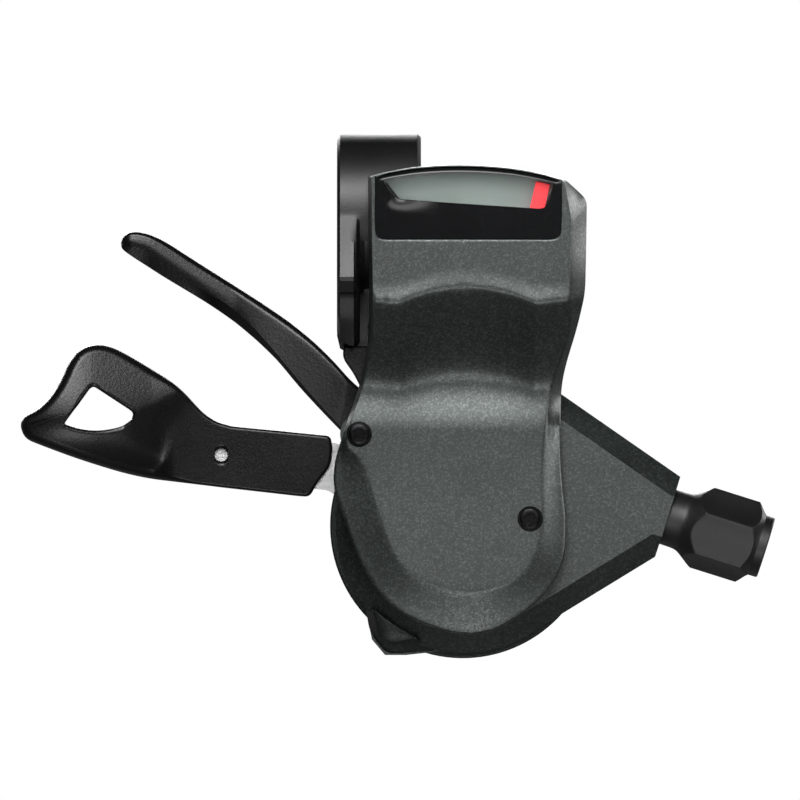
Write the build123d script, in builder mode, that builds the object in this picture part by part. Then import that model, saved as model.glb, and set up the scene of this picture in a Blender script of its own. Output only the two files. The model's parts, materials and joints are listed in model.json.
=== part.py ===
from build123d import *
import math
import os

os.makedirs("parts", exist_ok=True)

# Frame: the origin is the centre of the clamp on the bar's axis. +X runs along the bar towards the middle
# of the bicycle, +Z is up the cover, and the cover faces -Y, towards the rider.

# Handlebar clamp
bar_radius = 11.1
band_wall = 2.4
band_width = 14.0
band_edge = 1.0
ear_thickness = 4.2
clamp_bolt_radius = 2.5
clamp_bolt_x = 2.6
bolt_clearance = 0.15
bolt_head_radius = 4.2
bolt_head_height = 4.0
bolt_socket = 2.0
bolt_socket_depth = 2.4
clamp_nut_radius = 4.6
clamp_nut_height = 3.0

# Main pivot, where every lever and the spool turn
pivot_x = 14.0
pivot_z = -52.0
axle_radius = 3.0
axle_head_radius = 4.6
axle_head_height = 1.4
bush_wall = 1.0
press_clearance = 0.02
running_clearance = 0.05
face_clearance = 0.1

# Depths of the cover's faces and of the case's parting lines along Y
hump_face = -22.0
hump_back = -14.6
valley_face = -9.0
plate_face = -11.0
cover_parting = -5.5
case_parting = 4.8
case_back = 14.0
cover_wall = 1.8

# Cover, front view: the hump round the display, measured from the bar's axis
hump_left = -1.8
hump_right = 34.5
hump_top = 7.9
hump_shoulder_left = 6.2
hump_shoulder_right = 5.4
hump_corner = 3.7
hump_draft_left = 0.9
hump_draft_right = 2.7
hump_brow = -12.7
hump_crown_shift = 2.8
hump_corner_ease = 2.2
hump_corner_drop = 2.7
hump_side_lean = 0.3
neck_draft = 4.2
neck_left_low = -6.4
neck_left_hip = -5.7
neck_left_lean = 0.1
neck_right_hip = 30.6
neck_right_low = 30.2
neck_hip_drop = 1.0
neck_overlap = 9.0
neck_waist = -21.0
valley_depth_z = -26.5
plate_start = -35.0
brow_radius = 5.0
valley_radius = 7.0
plate_radius = 9.0
valley_lead = 0.5
wall_slope_share = 0.4
back_step = 0.8
cut_margin = 3.0
cover_margin = 10.0

# Cover, front view: the lower lobe, measured from the main pivot
lobe_radius = 17.4
plate_radius_front = 12.0
lobe_left = -21.4
lobe_right = 17.3
lobe_left_height = 6.0
lobe_low_left = (-16.7, -7.3)
lobe_side_drop = 0.8
lobe_right_lean = 1.1
lobe_hip_drop = 3.5
lobe_hip_x = (-5.9, -6.6)
plate_right = 13.2
plate_right_lean = 0.6
plate_left = -16.8
plate_left_height = 10.0
plate_low_left = (-11.9, -3.9)
plate_hip_x = (-5.2, -5.75)

# Cover screws
cover_screw_1 = (-3.3, -36.7)
cover_screw_reach = 11.2
cover_screw_rise = 1.2
cover_screw_2 = (pivot_x + cover_screw_reach, pivot_z + cover_screw_rise)
cover_screw_radius = 1.2
cover_head_radius = 2.0
cover_head_height = 1.5
cover_recess = 0.5
screw_boss_radius = 2.6
screw_clearance = 0.1
screw_lobes = 6
lobe_key_circle = 0.8
lobe_key_tip = 0.3
lobe_key_depth = 0.9

# Display
lens_left = -0.7
lens_right = 30.3
lens_bottom = -4.4
lens_top = 7.9
lens_corner = 2.0
lens_thickness = 2.4
lens_fit = 0.05
lens_cut = 1.0
lens_left_top = 6.2
lens_right_top = 5.6
lens_crown_shift = 1.2
window_toe = 1.8
window_rim = 0.5
window_thickness = 1.3
window_sink = 0.15
window_left = 0.9
window_right = 29.3
window_low_left = (3.5, 2.4)
window_low_right = (25.5, 0.7)
needle_gap = 0.4
dial_thickness = 0.8
dial_base_thickness = 2.2
dial_bottom = -6.0

# Case
case_radius = 21.2
case_wall = 1.8
case_bevel = 3.5
web_thickness = 1.2
web_overlap = 1.0
boss_margin = 0.6
lower_case_step = 1.0
lower_nose_depth = 2.2
nose_reach = 34.2
nose_rise = 1.5
nose_end = (pivot_x + nose_reach, pivot_z + nose_rise)
nose_half_width = 7.0
nose_corner = (16.4, 22.0)
nose_root_angle = 66.0
nose_root_inset = 3.0
nose_tangent = -55.0
nose_overrun = 6.0
nose_tilt = 17.5
tab_edge = [(-16.0, -15.0), (-15.2, -19.0), (-13.0, -21.6), (-9.5, -21.6), (-4.0, -21.0)]
tab_root = [(-6.0, -14.0), (-12.0, -10.0)]
tab_points = [(pivot_x + x, pivot_z + z) for x, z in tab_edge + tab_root]
case_screw_radius = 1.2
case_boss_radius = 2.8
case_screw_inset = 3.0
case_screw_circle = case_radius - case_screw_inset
case_screw_angles = (25.0, 300.0, 80.0)
case_head_radius = 2.2
case_head_height = 1.4
case_thread_length = 5.0
case_slot_size = (3.3, 0.8)
lever_window = (104.0, 157.0, 211.0)
lever_window_roof = 0.8
base_thickness = 2.0
axle_nut_radius = 5.4
axle_nut_height = 3.6
axle_washer_radius = 5.8
axle_washer_thickness = 0.8
axle_end = 0.6

# Mounting bracket between the clamp ears and the case
bracket_thickness = 2.0
bracket_left = -5.8
bracket_right = 9.0
bracket_gap = 0.8
bracket_low = pivot_z + case_radius + bracket_gap
bracket_span = -bar_radius - band_wall - bracket_low
ear_share = 7 / 11
ear_length = bracket_span * ear_share
ear_gap = 0.3
bracket_top = -bar_radius - band_wall - 2 * running_clearance
bracket_toe = -2.3
lug_thickness = 2.6
lug_root = 4.0
bracket_cut = (2.0, 1.5)
lug_top = -bar_radius - band_wall - ear_length - ear_gap
bracket_screw_x = (0.2, 5.6)
bracket_screw_z = (lug_top + bracket_low) / 2
bracket_screw_radius = 1.2
bracket_head_radius = 2.1
bracket_head_height = 1.3

# Spool, needle and ratchet, all on the pivot
spool_half = 3.0
spool_inset = 8.2
spool_rim = case_radius - spool_inset
groove_radius = 0.9
cable_end_radius = 2.1
cable_end_circle = 9.0
cable_end_angle = 210.0
needle_sheet = 0.8
needle_ring = 9.0
needle_angle = 13.1
needle_width = 2.4
needle_high = 58.6
needle_bend_low = 26.0
needle_sweep = 24.0
needle_relief = 1.0
needle_slot_spread = 4.0
case_slot_spread = 8.0
case_slot_margin = 6.0
ratchet_sheet = 1.6
ratchet_tip = case_radius - spool_inset
tooth_height = 1.8
tooth_lean = 0.9
ratchet_root = ratchet_tip - tooth_height
ratchet_teeth = 30
rivet_circle = 6.6
rivet_radius = 0.9
rivet_head = 1.4
rivet_rise = 0.5
rivet_turn = 30.0
rivet_count = 3

# Cable entry cap
cap_radius = 2.4
cap_head_radius = 3.0
cap_length = 5.0
cap_head_height = 1.4

# Springs
spring_wire = 0.7
spring_turn_gap = 0.45
spool_spring_height = 2.0
spring_turns = 2
layer_gap = 0.3
pawl_spring_inner = 1.6
pawl_spring_wire = 0.35
pawl_spring_gap = 0.2

# Levers
arm_front = 6.3
arm_sheet = 2.0
release_front = 10.3
release_sheet = 2.0
lever_hub = 8.6
washer_radius = 4.9
arm_width = 8.0
arm_elbow = (-7.8, -42.2)
arm_end = (-31.0, -39.4)
pad_wall = 1.4
pad_pin_hole = 1.07
pad_pin_place = (-26.4, -40.2)
pad_stations = (0.0, -30.0, -38.0, -62.0)
pad_bend_front = 1.2
pad_bend_back = 0.6
paddle_rise = 5.0
paddle_hole_corner = 1.1
paddle_thickness = 6.4
release_tip_depth = 20.5
release_tip_thickness = 5.5
release_stations = (30.0, -7.0, -24.0, -46.0)
release_mid = (14.4, 18.2)
release_elbow = (-6.2, -36.4)
release_tip = (-42.6, -3.0)
hub_ease = 1.0

# Pawls
drive_pawl_inset = 4.8
drive_pawl_circle = case_radius - drive_pawl_inset
drive_pawl_angle = 149.0
hold_pawl_inset = 4.6
hold_pawl_circle = case_radius - hold_pawl_inset
hold_pawl_angle = 236.0
pawl_pin_radius = 1.1
pawl_hub = 2.2
pawl_reach = 6.2
pawl_tip_gap = 0.45
pawl_tip_width = 1.6
pawl_shoulder = 2.0
pin_collar_wall = 0.7
pin_collar_height = 0.5
pawl_spring_height = 0.8

# Barrel adjuster, along its own tilted axis
neck_radius = 4.7
neck_length = 3.0
flare_length = 3.1
knob_corner = 7.15
knob_length = 8.0
knob_roll = 7.0
knob_edge = 1.1
collar_radius = 5.15
collar_length = 2.9
collar_step = 1.0
seat_gap = 0.3
insert_radius = 3.9
insert_length = 9.0
adjuster_bolt_radius = 2.6
adjuster_bore = 1.1
ferrule_radius = 2.6
ferrule_depth = 8.0
seat_wall = 0.5
seat_floor = 1.0
thread_clearance = 0.06


# Planes and shared shapes
def facing(depth):
    """A plane across the part at one depth, seen as the rider sees it: local x is X, local y is Z."""
    return Plane(origin=(0, depth, 0), x_dir=(1, 0, 0), z_dir=(0, -1, 0))


def pivot_plane(depth):
    """The same plane with its origin on the main pivot."""
    return Plane(origin=(pivot_x, depth, pivot_z), x_dir=(1, 0, 0), z_dir=(0, -1, 0))


def on_pivot(radius, angle):
    """A point at a radius and an angle round the main pivot, in the front view."""
    turn = math.radians(angle)
    return (pivot_x + radius * math.cos(turn), pivot_z + radius * math.sin(turn))


def slab(points, front, back):
    """A flat plate with the given outline between two depths."""
    with BuildPart() as plate:
        with BuildSketch(facing(back)):
            with BuildLine():
                Polyline(*points, close=True)
            make_face()
        extrude(amount=back - front)
    return plate.part


def disc(radius, front, back, bore=0.0, centre=(pivot_x, pivot_z)):
    """A round plate, with a bore where one is given, between two depths."""
    with BuildPart() as plate:
        with BuildSketch(facing(back)):
            with Locations(centre):
                Circle(radius)
                if bore > 0:
                    Circle(bore, mode=Mode.SUBTRACT)
        extrude(amount=back - front)
    return plate.part


def save(node, name):
    """Name a finished piece and write its file."""
    node.part.label = name
    export_step(node.part, f"parts/{name}.step")


bush_radius = axle_radius + bush_wall
pivot_bore = bush_radius + running_clearance
band_radius = bar_radius + band_wall
base_back = case_back + base_thickness


# Main cover: a hump with a brow and a scooped neck, above a bevelled lower lobe
def lobe_points(half):
    """Outline of the lower lobe: half 0 is its foot on the case, half 1 its flat front plate."""
    hip = plate_start - lobe_hip_drop
    side = pivot_z - lobe_side_drop
    foot = [(lobe_hip_x[0], plate_start), (lobe_hip_x[1], hip)]
    foot += [(pivot_x + lobe_left, pivot_z + lobe_left_height)]
    foot += [(pivot_x + lobe_low_left[0], pivot_z + lobe_low_left[1]), (pivot_x, pivot_z - lobe_radius)]
    foot += [(pivot_x + lobe_right, side), (pivot_x + lobe_right - lobe_right_lean, plate_start)]
    plate = [(plate_hip_x[0], plate_start), (plate_hip_x[1], hip)]
    plate += [(pivot_x + plate_left, pivot_z + plate_left_height)]
    plate += [(pivot_x + plate_low_left[0], pivot_z + plate_low_left[1])]
    plate += [(pivot_x, pivot_z - plate_radius_front)]
    plate += [(pivot_x + plate_right, side), (pivot_x + plate_right - plate_right_lean, plate_start)]
    return plate if half else foot


def neck_points(half):
    """Outline of the hump and neck: half 0 at the case, half 1 at the hump's face."""
    left = hump_left + half * hump_draft_left
    right = hump_right - half * hump_draft_right
    draft = half * neck_draft
    low = plate_start - neck_overlap
    points = [(neck_left_low + draft, low), (neck_left_hip + draft, plate_start - neck_hip_drop)]
    points += [(hump_left + neck_left_lean + draft, neck_waist), (left, hump_shoulder_left)]
    points += [((hump_left + hump_right) / 2 - hump_crown_shift, hump_top)]
    points += [(right - hump_corner + half * hump_corner_ease, hump_shoulder_right)]
    points += [(right, hump_shoulder_right - hump_corner_drop), (right - hump_side_lean, hump_brow)]
    points += [(neck_right_hip - draft, valley_depth_z - valley_lead), (neck_right_low - draft, low)]
    return points


def outline(points, crown=4):
    """A closed outline of straight runs, with an arc through the point whose place is crown."""
    before = points[:crown]
    after = points[crown + 1:]
    with BuildLine() as path:
        Polyline(*before) if len(before) > 1 else None
        ThreePointArc(before[-1], points[crown], after[0])
        Polyline(*after, before[0])
    return path.line


def cover_form(inset):
    """The cover's body, drawn in by inset all round; an inset of nothing gives its outside."""
    front_face = hump_face + inset
    foot_rise = 4 * inset
    slope_shift = inset * wall_slope_share
    with BuildPart() as across:
        with BuildSketch(Plane.YZ.offset(hump_left - cover_margin)) as profile:
            with BuildLine():
                Polyline(
                    (hump_back + foot_rise, hump_top + cut_margin),
                    (front_face, hump_top + cut_margin),
                    (front_face, hump_brow - slope_shift),
                    (valley_face + inset, valley_depth_z - slope_shift),
                    (plate_face + inset, plate_start),
                    (plate_face + inset, plate_start - neck_overlap + inset),
                    (cover_parting + foot_rise, plate_start - neck_overlap + inset),
                    (cover_parting + foot_rise, valley_depth_z - 2 * valley_lead + inset),
                    (hump_back + foot_rise, hump_brow - back_step + inset),
                    close=True,
                )
            make_face()
            rounds = (
                ((front_face, hump_brow - slope_shift), brow_radius - inset),
                ((valley_face + inset, valley_depth_z - slope_shift), valley_radius + inset),
                ((plate_face + inset, plate_start), plate_radius),
            )
            for place, radius in rounds:
                fillet(profile.vertices().sort_by_distance(place)[0], radius)
        extrude(amount=hump_right - hump_left + 2 * cover_margin)
    with BuildPart() as body:
        for half, depth in ((0, cover_parting), (1, hump_face)):
            with BuildSketch(facing(depth)):
                add(outline(neck_points(half)))
                make_face()
                if inset > 0:
                    offset(amount=-inset, kind=Kind.INTERSECTION)
        loft(ruled=True)
        add(across.part, mode=Mode.INTERSECT)
    with BuildPart() as lobe:
        for half, depth in ((0, cover_parting), (1, plate_face + inset)):
            with BuildSketch(facing(depth)):
                add(outline(lobe_points(half)))
                make_face()
                if inset > 0:
                    offset(amount=-inset, kind=Kind.INTERSECTION)
        loft(ruled=True)
    with BuildPart() as whole:
        add(body.part)
        add(lobe.part)
    return whole.part


def lens_outline(gap):
    """Outline of the display lens, drawn in by gap: straight sides, round lower corners, arched top."""
    left = lens_left + gap
    right = lens_right - gap
    low = lens_bottom + gap
    with BuildSketch() as shape:
        with BuildLine():
            Polyline((left, lens_left_top - gap), (left, low), (right, low), (right, lens_right_top - gap))
            ThreePointArc(
                (right, lens_right_top - gap),
                ((left + right) / 2 - lens_crown_shift, lens_top - gap),
                (left, lens_left_top - gap),
            )
        make_face()
        fillet(shape.vertices().group_by(Axis.Y)[0], lens_corner)
    return shape.sketch


def window_outline(gap):
    """Outline of the clear window, drawn in by gap: a low edge, two ends and an arched top."""
    top = lens_top - window_rim - gap
    low_left = (window_low_left[0], window_low_left[1] + gap)
    low_right = (window_low_right[0] + window_toe, window_low_right[1] + gap)
    end_right = (window_right - gap, lens_right_top - window_rim - gap)
    end_left = (window_left + gap, lens_left_top - window_rim - gap)
    with BuildSketch() as shape:
        with BuildLine():
            Polyline(end_left, low_left, low_right, end_right)
            ThreePointArc(end_right, ((lens_left + lens_right) / 2 - lens_crown_shift, top), end_left)
        make_face()
    return shape.sketch


def needle_fan(low, high, spread):
    """A ring sector round the main pivot, the room that the needle sweeps through, in pivot coordinates."""
    rest = needle_angle + spread
    far = needle_angle - needle_sweep - spread
    ends = [(math.sin(math.radians(a)), math.cos(math.radians(a))) for a in (rest, (rest + far) / 2, far)]
    with BuildSketch() as shape:
        with BuildLine():
            ThreePointArc(*[(s * high, c * high) for s, c in ends])
            Line((ends[2][0] * high, ends[2][1] * high), (ends[2][0] * low, ends[2][1] * low))
            ThreePointArc(*[(s * low, c * low) for s, c in reversed(ends)])
            Line((ends[0][0] * low, ends[0][1] * low), (ends[0][0] * high, ends[0][1] * high))
        make_face()
    return shape.sketch


lens_back = hump_face + lens_thickness
needle_front = lens_back + needle_gap
needle_back = needle_front + needle_sheet
dial_front = needle_back + needle_gap
dial_back = dial_front + dial_thickness
needle_fan_low = needle_bend_low - spool_half - needle_back - needle_relief
head_seat = plate_face + cover_recess + cover_head_height
cover_screw_places = (cover_screw_1, cover_screw_2)

with BuildPart() as main_cover:
    add(cover_form(0.0))
    add(cover_form(cover_wall), mode=Mode.SUBTRACT)
    with BuildSketch(facing(cover_parting)):
        with Locations(*cover_screw_places):
            Circle(screw_boss_radius)
    extrude(amount=cover_parting - plate_face - cover_wall / 2)
    with BuildSketch(facing(cover_parting)):
        with Locations(*cover_screw_places):
            Circle(cover_screw_radius + screw_clearance)
    extrude(amount=cover_parting - hump_face, mode=Mode.SUBTRACT)
    with BuildSketch(facing(head_seat)):
        with Locations(*cover_screw_places):
            Circle(cover_head_radius + screw_clearance)
    extrude(amount=head_seat - hump_face, mode=Mode.SUBTRACT)
    with BuildSketch(facing(lens_back)):
        add(lens_outline(0.0))
        with Locations(((lens_left + lens_right) / 2, lens_top + lens_cut)):
            Rectangle(lens_right - lens_left, 2 * (lens_top - lens_right_top + lens_cut))
    extrude(amount=lens_thickness + lens_cut, mode=Mode.SUBTRACT)
    with BuildSketch(pivot_plane(dial_front)):
        add(needle_fan(needle_fan_low, needle_high + needle_gap, needle_slot_spread))
    extrude(amount=dial_front - lens_back + needle_gap, mode=Mode.SUBTRACT)
    with BuildSketch(facing(dial_back)):
        add(window_outline(-lens_fit))
    extrude(amount=dial_back - lens_back, mode=Mode.SUBTRACT)
save(main_cover, "main_cover")

with BuildPart() as cover_screws:
    for place in cover_screw_places:
        with BuildSketch(facing(head_seat)):
            with Locations(place):
                Circle(cover_head_radius)
        extrude(amount=cover_head_height)
        with BuildSketch(facing(cover_parting + case_wall)):
            with Locations(place):
                Circle(cover_screw_radius)
        extrude(amount=cover_parting + case_wall - head_seat)
        with BuildSketch(facing(plate_face + cover_recess + lobe_key_depth)):
            with Locations(place):
                Circle(lobe_key_circle)
                with PolarLocations(lobe_key_circle, screw_lobes):
                    Circle(lobe_key_tip)
        extrude(amount=lobe_key_depth, mode=Mode.SUBTRACT)
save(cover_screws, "cover_screws")


# Display: bezel with its window, dial and base behind the sweeping needle
with BuildPart() as indicator_bezel:
    with BuildSketch(facing(lens_back)):
        add(lens_outline(lens_fit))
    extrude(amount=lens_thickness)
    with BuildSketch(facing(lens_back)):
        add(window_outline(0.0))
    extrude(amount=lens_thickness, mode=Mode.SUBTRACT)
save(indicator_bezel, "indicator_bezel")

with BuildPart() as indicator_window:
    with BuildSketch(facing(hump_face + window_sink + window_thickness)):
        add(window_outline(lens_fit))
    extrude(amount=window_thickness)
save(indicator_window, "indicator_window")

with BuildPart() as indicator_dial:
    with BuildSketch(facing(dial_back)):
        add(window_outline(0.0))
    extrude(amount=dial_thickness)
save(indicator_dial, "indicator_dial")

with BuildPart() as indicator_base:
    add(cover_form(cover_wall))
    with BuildSketch(facing(dial_back + dial_base_thickness)):
        with Locations(((hump_left + hump_right) / 2, (dial_bottom + hump_top) / 2)):
            Rectangle(hump_right - hump_left + cut_margin, hump_top - dial_bottom)
    extrude(amount=dial_base_thickness, mode=Mode.INTERSECT)
save(indicator_base, "indicator_base")


# Upper case: a round tub open to the cover, with the cable nose and the lug for the bracket
tilt = math.radians(nose_tilt)
nose_along = (math.cos(tilt), -math.sin(tilt))
nose_across = (math.sin(tilt), math.cos(tilt))


def along_nose(reach, side):
    """A point of the front view measured from the middle of the nose's end, along and across its axis."""
    x = nose_end[0] + reach * nose_along[0] + side * nose_across[0]
    z = nose_end[1] + reach * nose_along[1] + side * nose_across[1]
    return (x, z)


def nose_points():
    """Outline of the nose, run on past its end face, from its shoulder to its tangent on the round case."""
    shoulder_point = (pivot_x + nose_corner[0], pivot_z + nose_corner[1])
    top = along_nose(0.0, nose_half_width)
    low = along_nose(0.0, -nose_half_width)
    tangent = on_pivot(case_radius, nose_tangent)
    over = nose_overrun
    points = [on_pivot(case_radius - nose_root_inset, nose_root_angle), shoulder_point, top]
    points += [(top[0] + over * nose_along[0], top[1] + over * nose_along[1])]
    points += [(low[0] + over * nose_along[0], low[1] + over * nose_along[1]), low, tangent]
    points += [(pivot_x, pivot_z)]
    return points


def case_outline(radius):
    """The round case and its nose, in one outline."""
    with BuildSketch() as shape:
        with Locations((pivot_x, pivot_z)):
            Circle(radius)
        with BuildLine():
            Polyline(*nose_points(), close=True)
        make_face()
    return shape.sketch


def adjuster_plane(reach):
    """A plane square to the adjuster's axis, at a distance outward from the nose's end face."""
    place = along_nose(reach, 0.0)
    return Plane(origin=(place[0], 0, place[1]), x_dir=(0, 1, 0), z_dir=(nose_along[0], 0, nose_along[1]))


def past_nose():
    """Everything beyond the nose's end face."""
    with BuildPart() as block:
        with BuildSketch(adjuster_plane(0.0)):
            Rectangle(2 * case_radius, 2 * case_radius)
        extrude(amount=2 * nose_overrun)
    return block.part


def rod(radius, start, end, bore=0.0):
    """A round rod on the adjuster's axis from one reach to another."""
    with BuildPart() as bar:
        with BuildSketch(adjuster_plane(start)):
            Circle(radius)
            if bore > 0:
                Circle(bore, mode=Mode.SUBTRACT)
        extrude(amount=end - start)
    return bar.part


shoulder = cover_parting + case_bevel
cavity_radius = case_radius - case_wall
mouth_radius = cavity_radius - case_bevel
insert_start = -insert_length
web_back = cover_parting + web_thickness
lug_front = bracket_thickness / 2
lug_back = lug_front + lug_thickness
lug_low = pivot_z + case_radius - lug_root
case_screw_places = [on_pivot(case_screw_circle, angle) for angle in case_screw_angles]
cable_foot = (pivot_x - nose_end[0]) * nose_along[0] + (pivot_z - nose_end[1]) * nose_along[1]
cable_line = (nose_end[0] - pivot_x) * nose_across[0] + (nose_end[1] - pivot_z) * nose_across[1]
cap_reach = cable_foot - math.sqrt(case_radius ** 2 - cable_line ** 2)
cap_seat = cap_reach - cap_length / 2
hold_pin_place = on_pivot(hold_pawl_circle, hold_pawl_angle)

with BuildPart() as upper_case:
    with BuildSketch(facing(case_parting)):
        add(case_outline(case_radius))
    extrude(amount=case_parting - shoulder)
    with BuildSketch(facing(shoulder)):
        add(case_outline(case_radius))
    extrude(amount=case_bevel, taper=45)
    add(past_nose(), mode=Mode.SUBTRACT)
    add(slab(tab_points, 0.0, case_parting))
    with BuildSketch(facing(case_parting)):
        with Locations(cover_screw_1):
            Circle(screw_boss_radius + boss_margin)
    extrude(amount=case_parting - cover_parting)
    with BuildSketch(facing(case_parting)):
        with Locations((pivot_x, pivot_z)):
            Circle(cavity_radius)
    extrude(amount=case_parting - shoulder, mode=Mode.SUBTRACT)
    with BuildSketch(facing(shoulder)):
        with Locations((pivot_x, pivot_z)):
            Circle(mouth_radius)
    extrude(amount=case_bevel, mode=Mode.SUBTRACT)
    with BuildSketch(facing(web_back)):
        with BuildLine():
            Polyline(
                (cover_screw_2[0], cover_screw_2[1] + screw_boss_radius),
                (cover_screw_2[0], cover_screw_2[1] - screw_boss_radius),
                (pivot_x + mouth_radius + web_overlap, cover_screw_2[1] - screw_boss_radius),
                (pivot_x + mouth_radius + web_overlap, cover_screw_2[1] + screw_boss_radius),
                close=True,
            )
        make_face()
        with Locations(cover_screw_2):
            Circle(screw_boss_radius)
    extrude(amount=web_back - cover_parting)
    with BuildSketch(facing(lug_back)):
        with Locations(((bracket_toe + bracket_right) / 2, (lug_top + lug_low) / 2)):
            Rectangle(bracket_right - bracket_toe, lug_top - lug_low)
        with Locations((pivot_x, pivot_z)):
            Circle(cavity_radius, mode=Mode.SUBTRACT)
    extrude(amount=lug_thickness)
    with BuildSketch(facing(lug_back)):
        with Locations(*[(x, bracket_screw_z) for x in bracket_screw_x]):
            Circle(bracket_screw_radius)
    extrude(amount=lug_thickness, mode=Mode.SUBTRACT)
    with BuildSketch(facing(cover_parting + case_wall)):
        with Locations(*cover_screw_places):
            Circle(cover_screw_radius)
    extrude(amount=case_wall, mode=Mode.SUBTRACT)
    with BuildSketch(pivot_plane(-spool_half + needle_sheet)):
        add(needle_fan(mouth_radius - needle_width, case_radius + case_slot_margin, case_slot_spread))
    extrude(amount=-spool_half + needle_sheet - cover_parting, mode=Mode.SUBTRACT)
    with BuildSketch(facing(case_parting)):
        with Locations(*case_screw_places):
            Circle(case_boss_radius)
    extrude(amount=case_thread_length)
    with BuildSketch(facing(case_parting)):
        with Locations(*case_screw_places):
            Circle(case_screw_radius)
    extrude(amount=case_thread_length, mode=Mode.SUBTRACT)
    add(rod(insert_radius, insert_start, nose_overrun), mode=Mode.SUBTRACT)
    add(rod(adjuster_bore, cable_foot, 0.0), mode=Mode.SUBTRACT)
    add(rod(cap_radius + press_clearance, cap_seat, cap_reach + cap_length), mode=Mode.SUBTRACT)
    add(rod(cap_head_radius + press_clearance, cap_seat - cap_length, cap_seat), mode=Mode.SUBTRACT)
save(upper_case, "upper_case")

# Lower case: the rear tub, stepped out by a lip, open on the side where the levers come out
with BuildPart() as lower_case:
    with BuildSketch(facing(case_back)):
        with Locations((pivot_x, pivot_z)):
            Circle(case_radius + lower_case_step)
    extrude(amount=case_back - case_parting)
    with BuildSketch(facing(case_parting + lower_nose_depth)):
        add(case_outline(case_radius))
    extrude(amount=lower_nose_depth)
    add(past_nose(), mode=Mode.SUBTRACT)
    with BuildSketch(facing(case_back)):
        with Locations((pivot_x, pivot_z)):
            Circle(cavity_radius + lower_case_step)
    extrude(amount=case_back - case_parting, mode=Mode.SUBTRACT)
    with BuildSketch(facing(case_back)):
        with BuildLine():
            Polyline(
                (pivot_x, pivot_z),
                *[on_pivot(3 * case_radius, angle) for angle in lever_window],
                close=True,
            )
        make_face()
    extrude(amount=case_back - case_parting - lever_window_roof, mode=Mode.SUBTRACT)
    with BuildSketch(facing(case_back)):
        with Locations(*case_screw_places):
            Circle(case_boss_radius)
    extrude(amount=case_back - case_parting)
    with BuildSketch(facing(case_back)):
        with Locations(*case_screw_places):
            Circle(case_screw_radius + screw_clearance)
    extrude(amount=case_back - case_parting, mode=Mode.SUBTRACT)
save(lower_case, "lower_case")

with BuildPart() as base_plate:
    add(disc(case_radius, case_back, base_back, axle_radius + press_clearance))
    with BuildSketch(facing(base_back)):
        with Locations(*case_screw_places):
            Circle(case_screw_radius + screw_clearance)
    extrude(amount=base_thickness, mode=Mode.SUBTRACT)
save(base_plate, "base_plate")

with BuildPart() as case_screws:
    for place in case_screw_places:
        add(disc(case_head_radius, base_back, base_back + case_head_height, centre=place))
        add(disc(case_screw_radius, case_parting - case_thread_length, base_back, centre=place))
    with BuildSketch(facing(base_back + case_head_height)):
        with Locations(*case_screw_places):
            Rectangle(case_slot_size[0], case_slot_size[1])
            Rectangle(case_slot_size[1], case_slot_size[0])
    extrude(amount=case_head_height / 2, mode=Mode.SUBTRACT)
save(case_screws, "case_screws")

with BuildPart() as cable_cap:
    add(rod(cap_radius, cap_seat, cap_seat + cap_length))
    add(rod(cap_head_radius, cap_seat - cap_head_height, cap_seat))
save(cable_cap, "cable_cap")

# Clamp band round the bar, with two ears below that grip the bracket
ear_front = bracket_thickness / 2
ear_low = -band_radius - ear_length
bolt_place = (clamp_bolt_x, -band_radius - ear_length / 2)
bolt_hole = clamp_bolt_radius + bolt_clearance
ear_face = ear_front + ear_thickness

with BuildPart() as clamp_band:
    with BuildSketch(Plane.YZ.offset(-band_width / 2)):
        Circle(band_radius)
    extrude(amount=band_width)
    fillet(clamp_band.edges().filter_by(GeomType.CIRCLE), band_edge)
    with BuildSketch(Plane.YZ.offset(-band_width / 2)):
        with Locations((0, (ear_low - bar_radius) / 2)):
            Rectangle(2 * ear_face, -bar_radius - ear_low)
    extrude(amount=band_width)
    fillet(clamp_band.edges().filter_by(Axis.Y).group_by(Axis.Z)[0], band_edge)
    with BuildSketch(Plane.YZ.offset(-band_width / 2)):
        Circle(bar_radius)
        with Locations((0, ear_low / 2)):
            Rectangle(bracket_thickness, -ear_low)
    extrude(amount=band_width, mode=Mode.SUBTRACT)
    add(disc(bolt_hole, -ear_face, ear_face, centre=bolt_place), mode=Mode.SUBTRACT)
save(clamp_band, "clamp_band")

with BuildPart() as clamp_bolt:
    add(disc(bolt_head_radius, ear_face, ear_face + bolt_head_height, centre=bolt_place))
    add(disc(clamp_bolt_radius, -ear_face - clamp_nut_height, ear_face, centre=bolt_place))
    with BuildSketch(facing(ear_face + bolt_head_height)):
        with Locations(bolt_place):
            RegularPolygon(bolt_socket, 6)
    extrude(amount=bolt_socket_depth, mode=Mode.SUBTRACT)
save(clamp_bolt, "clamp_bolt")

with BuildPart() as clamp_nut:
    with BuildSketch(facing(-ear_face)):
        with Locations(bolt_place):
            RegularPolygon(clamp_nut_radius, 6)
            Circle(clamp_bolt_radius, mode=Mode.SUBTRACT)
    extrude(amount=clamp_nut_height)
save(clamp_nut, "clamp_nut")

with BuildPart() as mount_bracket:
    add(
        slab(
            [
                (bracket_left, bracket_top),
                (-bracket_left, bracket_top),
                (bracket_right, lug_top + bracket_cut[0]),
                (bracket_right, bracket_low),
                (bracket_toe, bracket_low),
                (bracket_left, lug_top + bracket_cut[1]),
            ],
            -bracket_thickness / 2,
            bracket_thickness / 2,
        )
    )
    add(disc(bolt_hole, -ear_front, ear_front, centre=bolt_place), mode=Mode.SUBTRACT)
    with BuildSketch(facing(ear_front)):
        with Locations(*[(x, bracket_screw_z) for x in bracket_screw_x]):
            Circle(bracket_screw_radius + screw_clearance)
    extrude(amount=bracket_thickness, mode=Mode.SUBTRACT)
save(mount_bracket, "mount_bracket")

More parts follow.
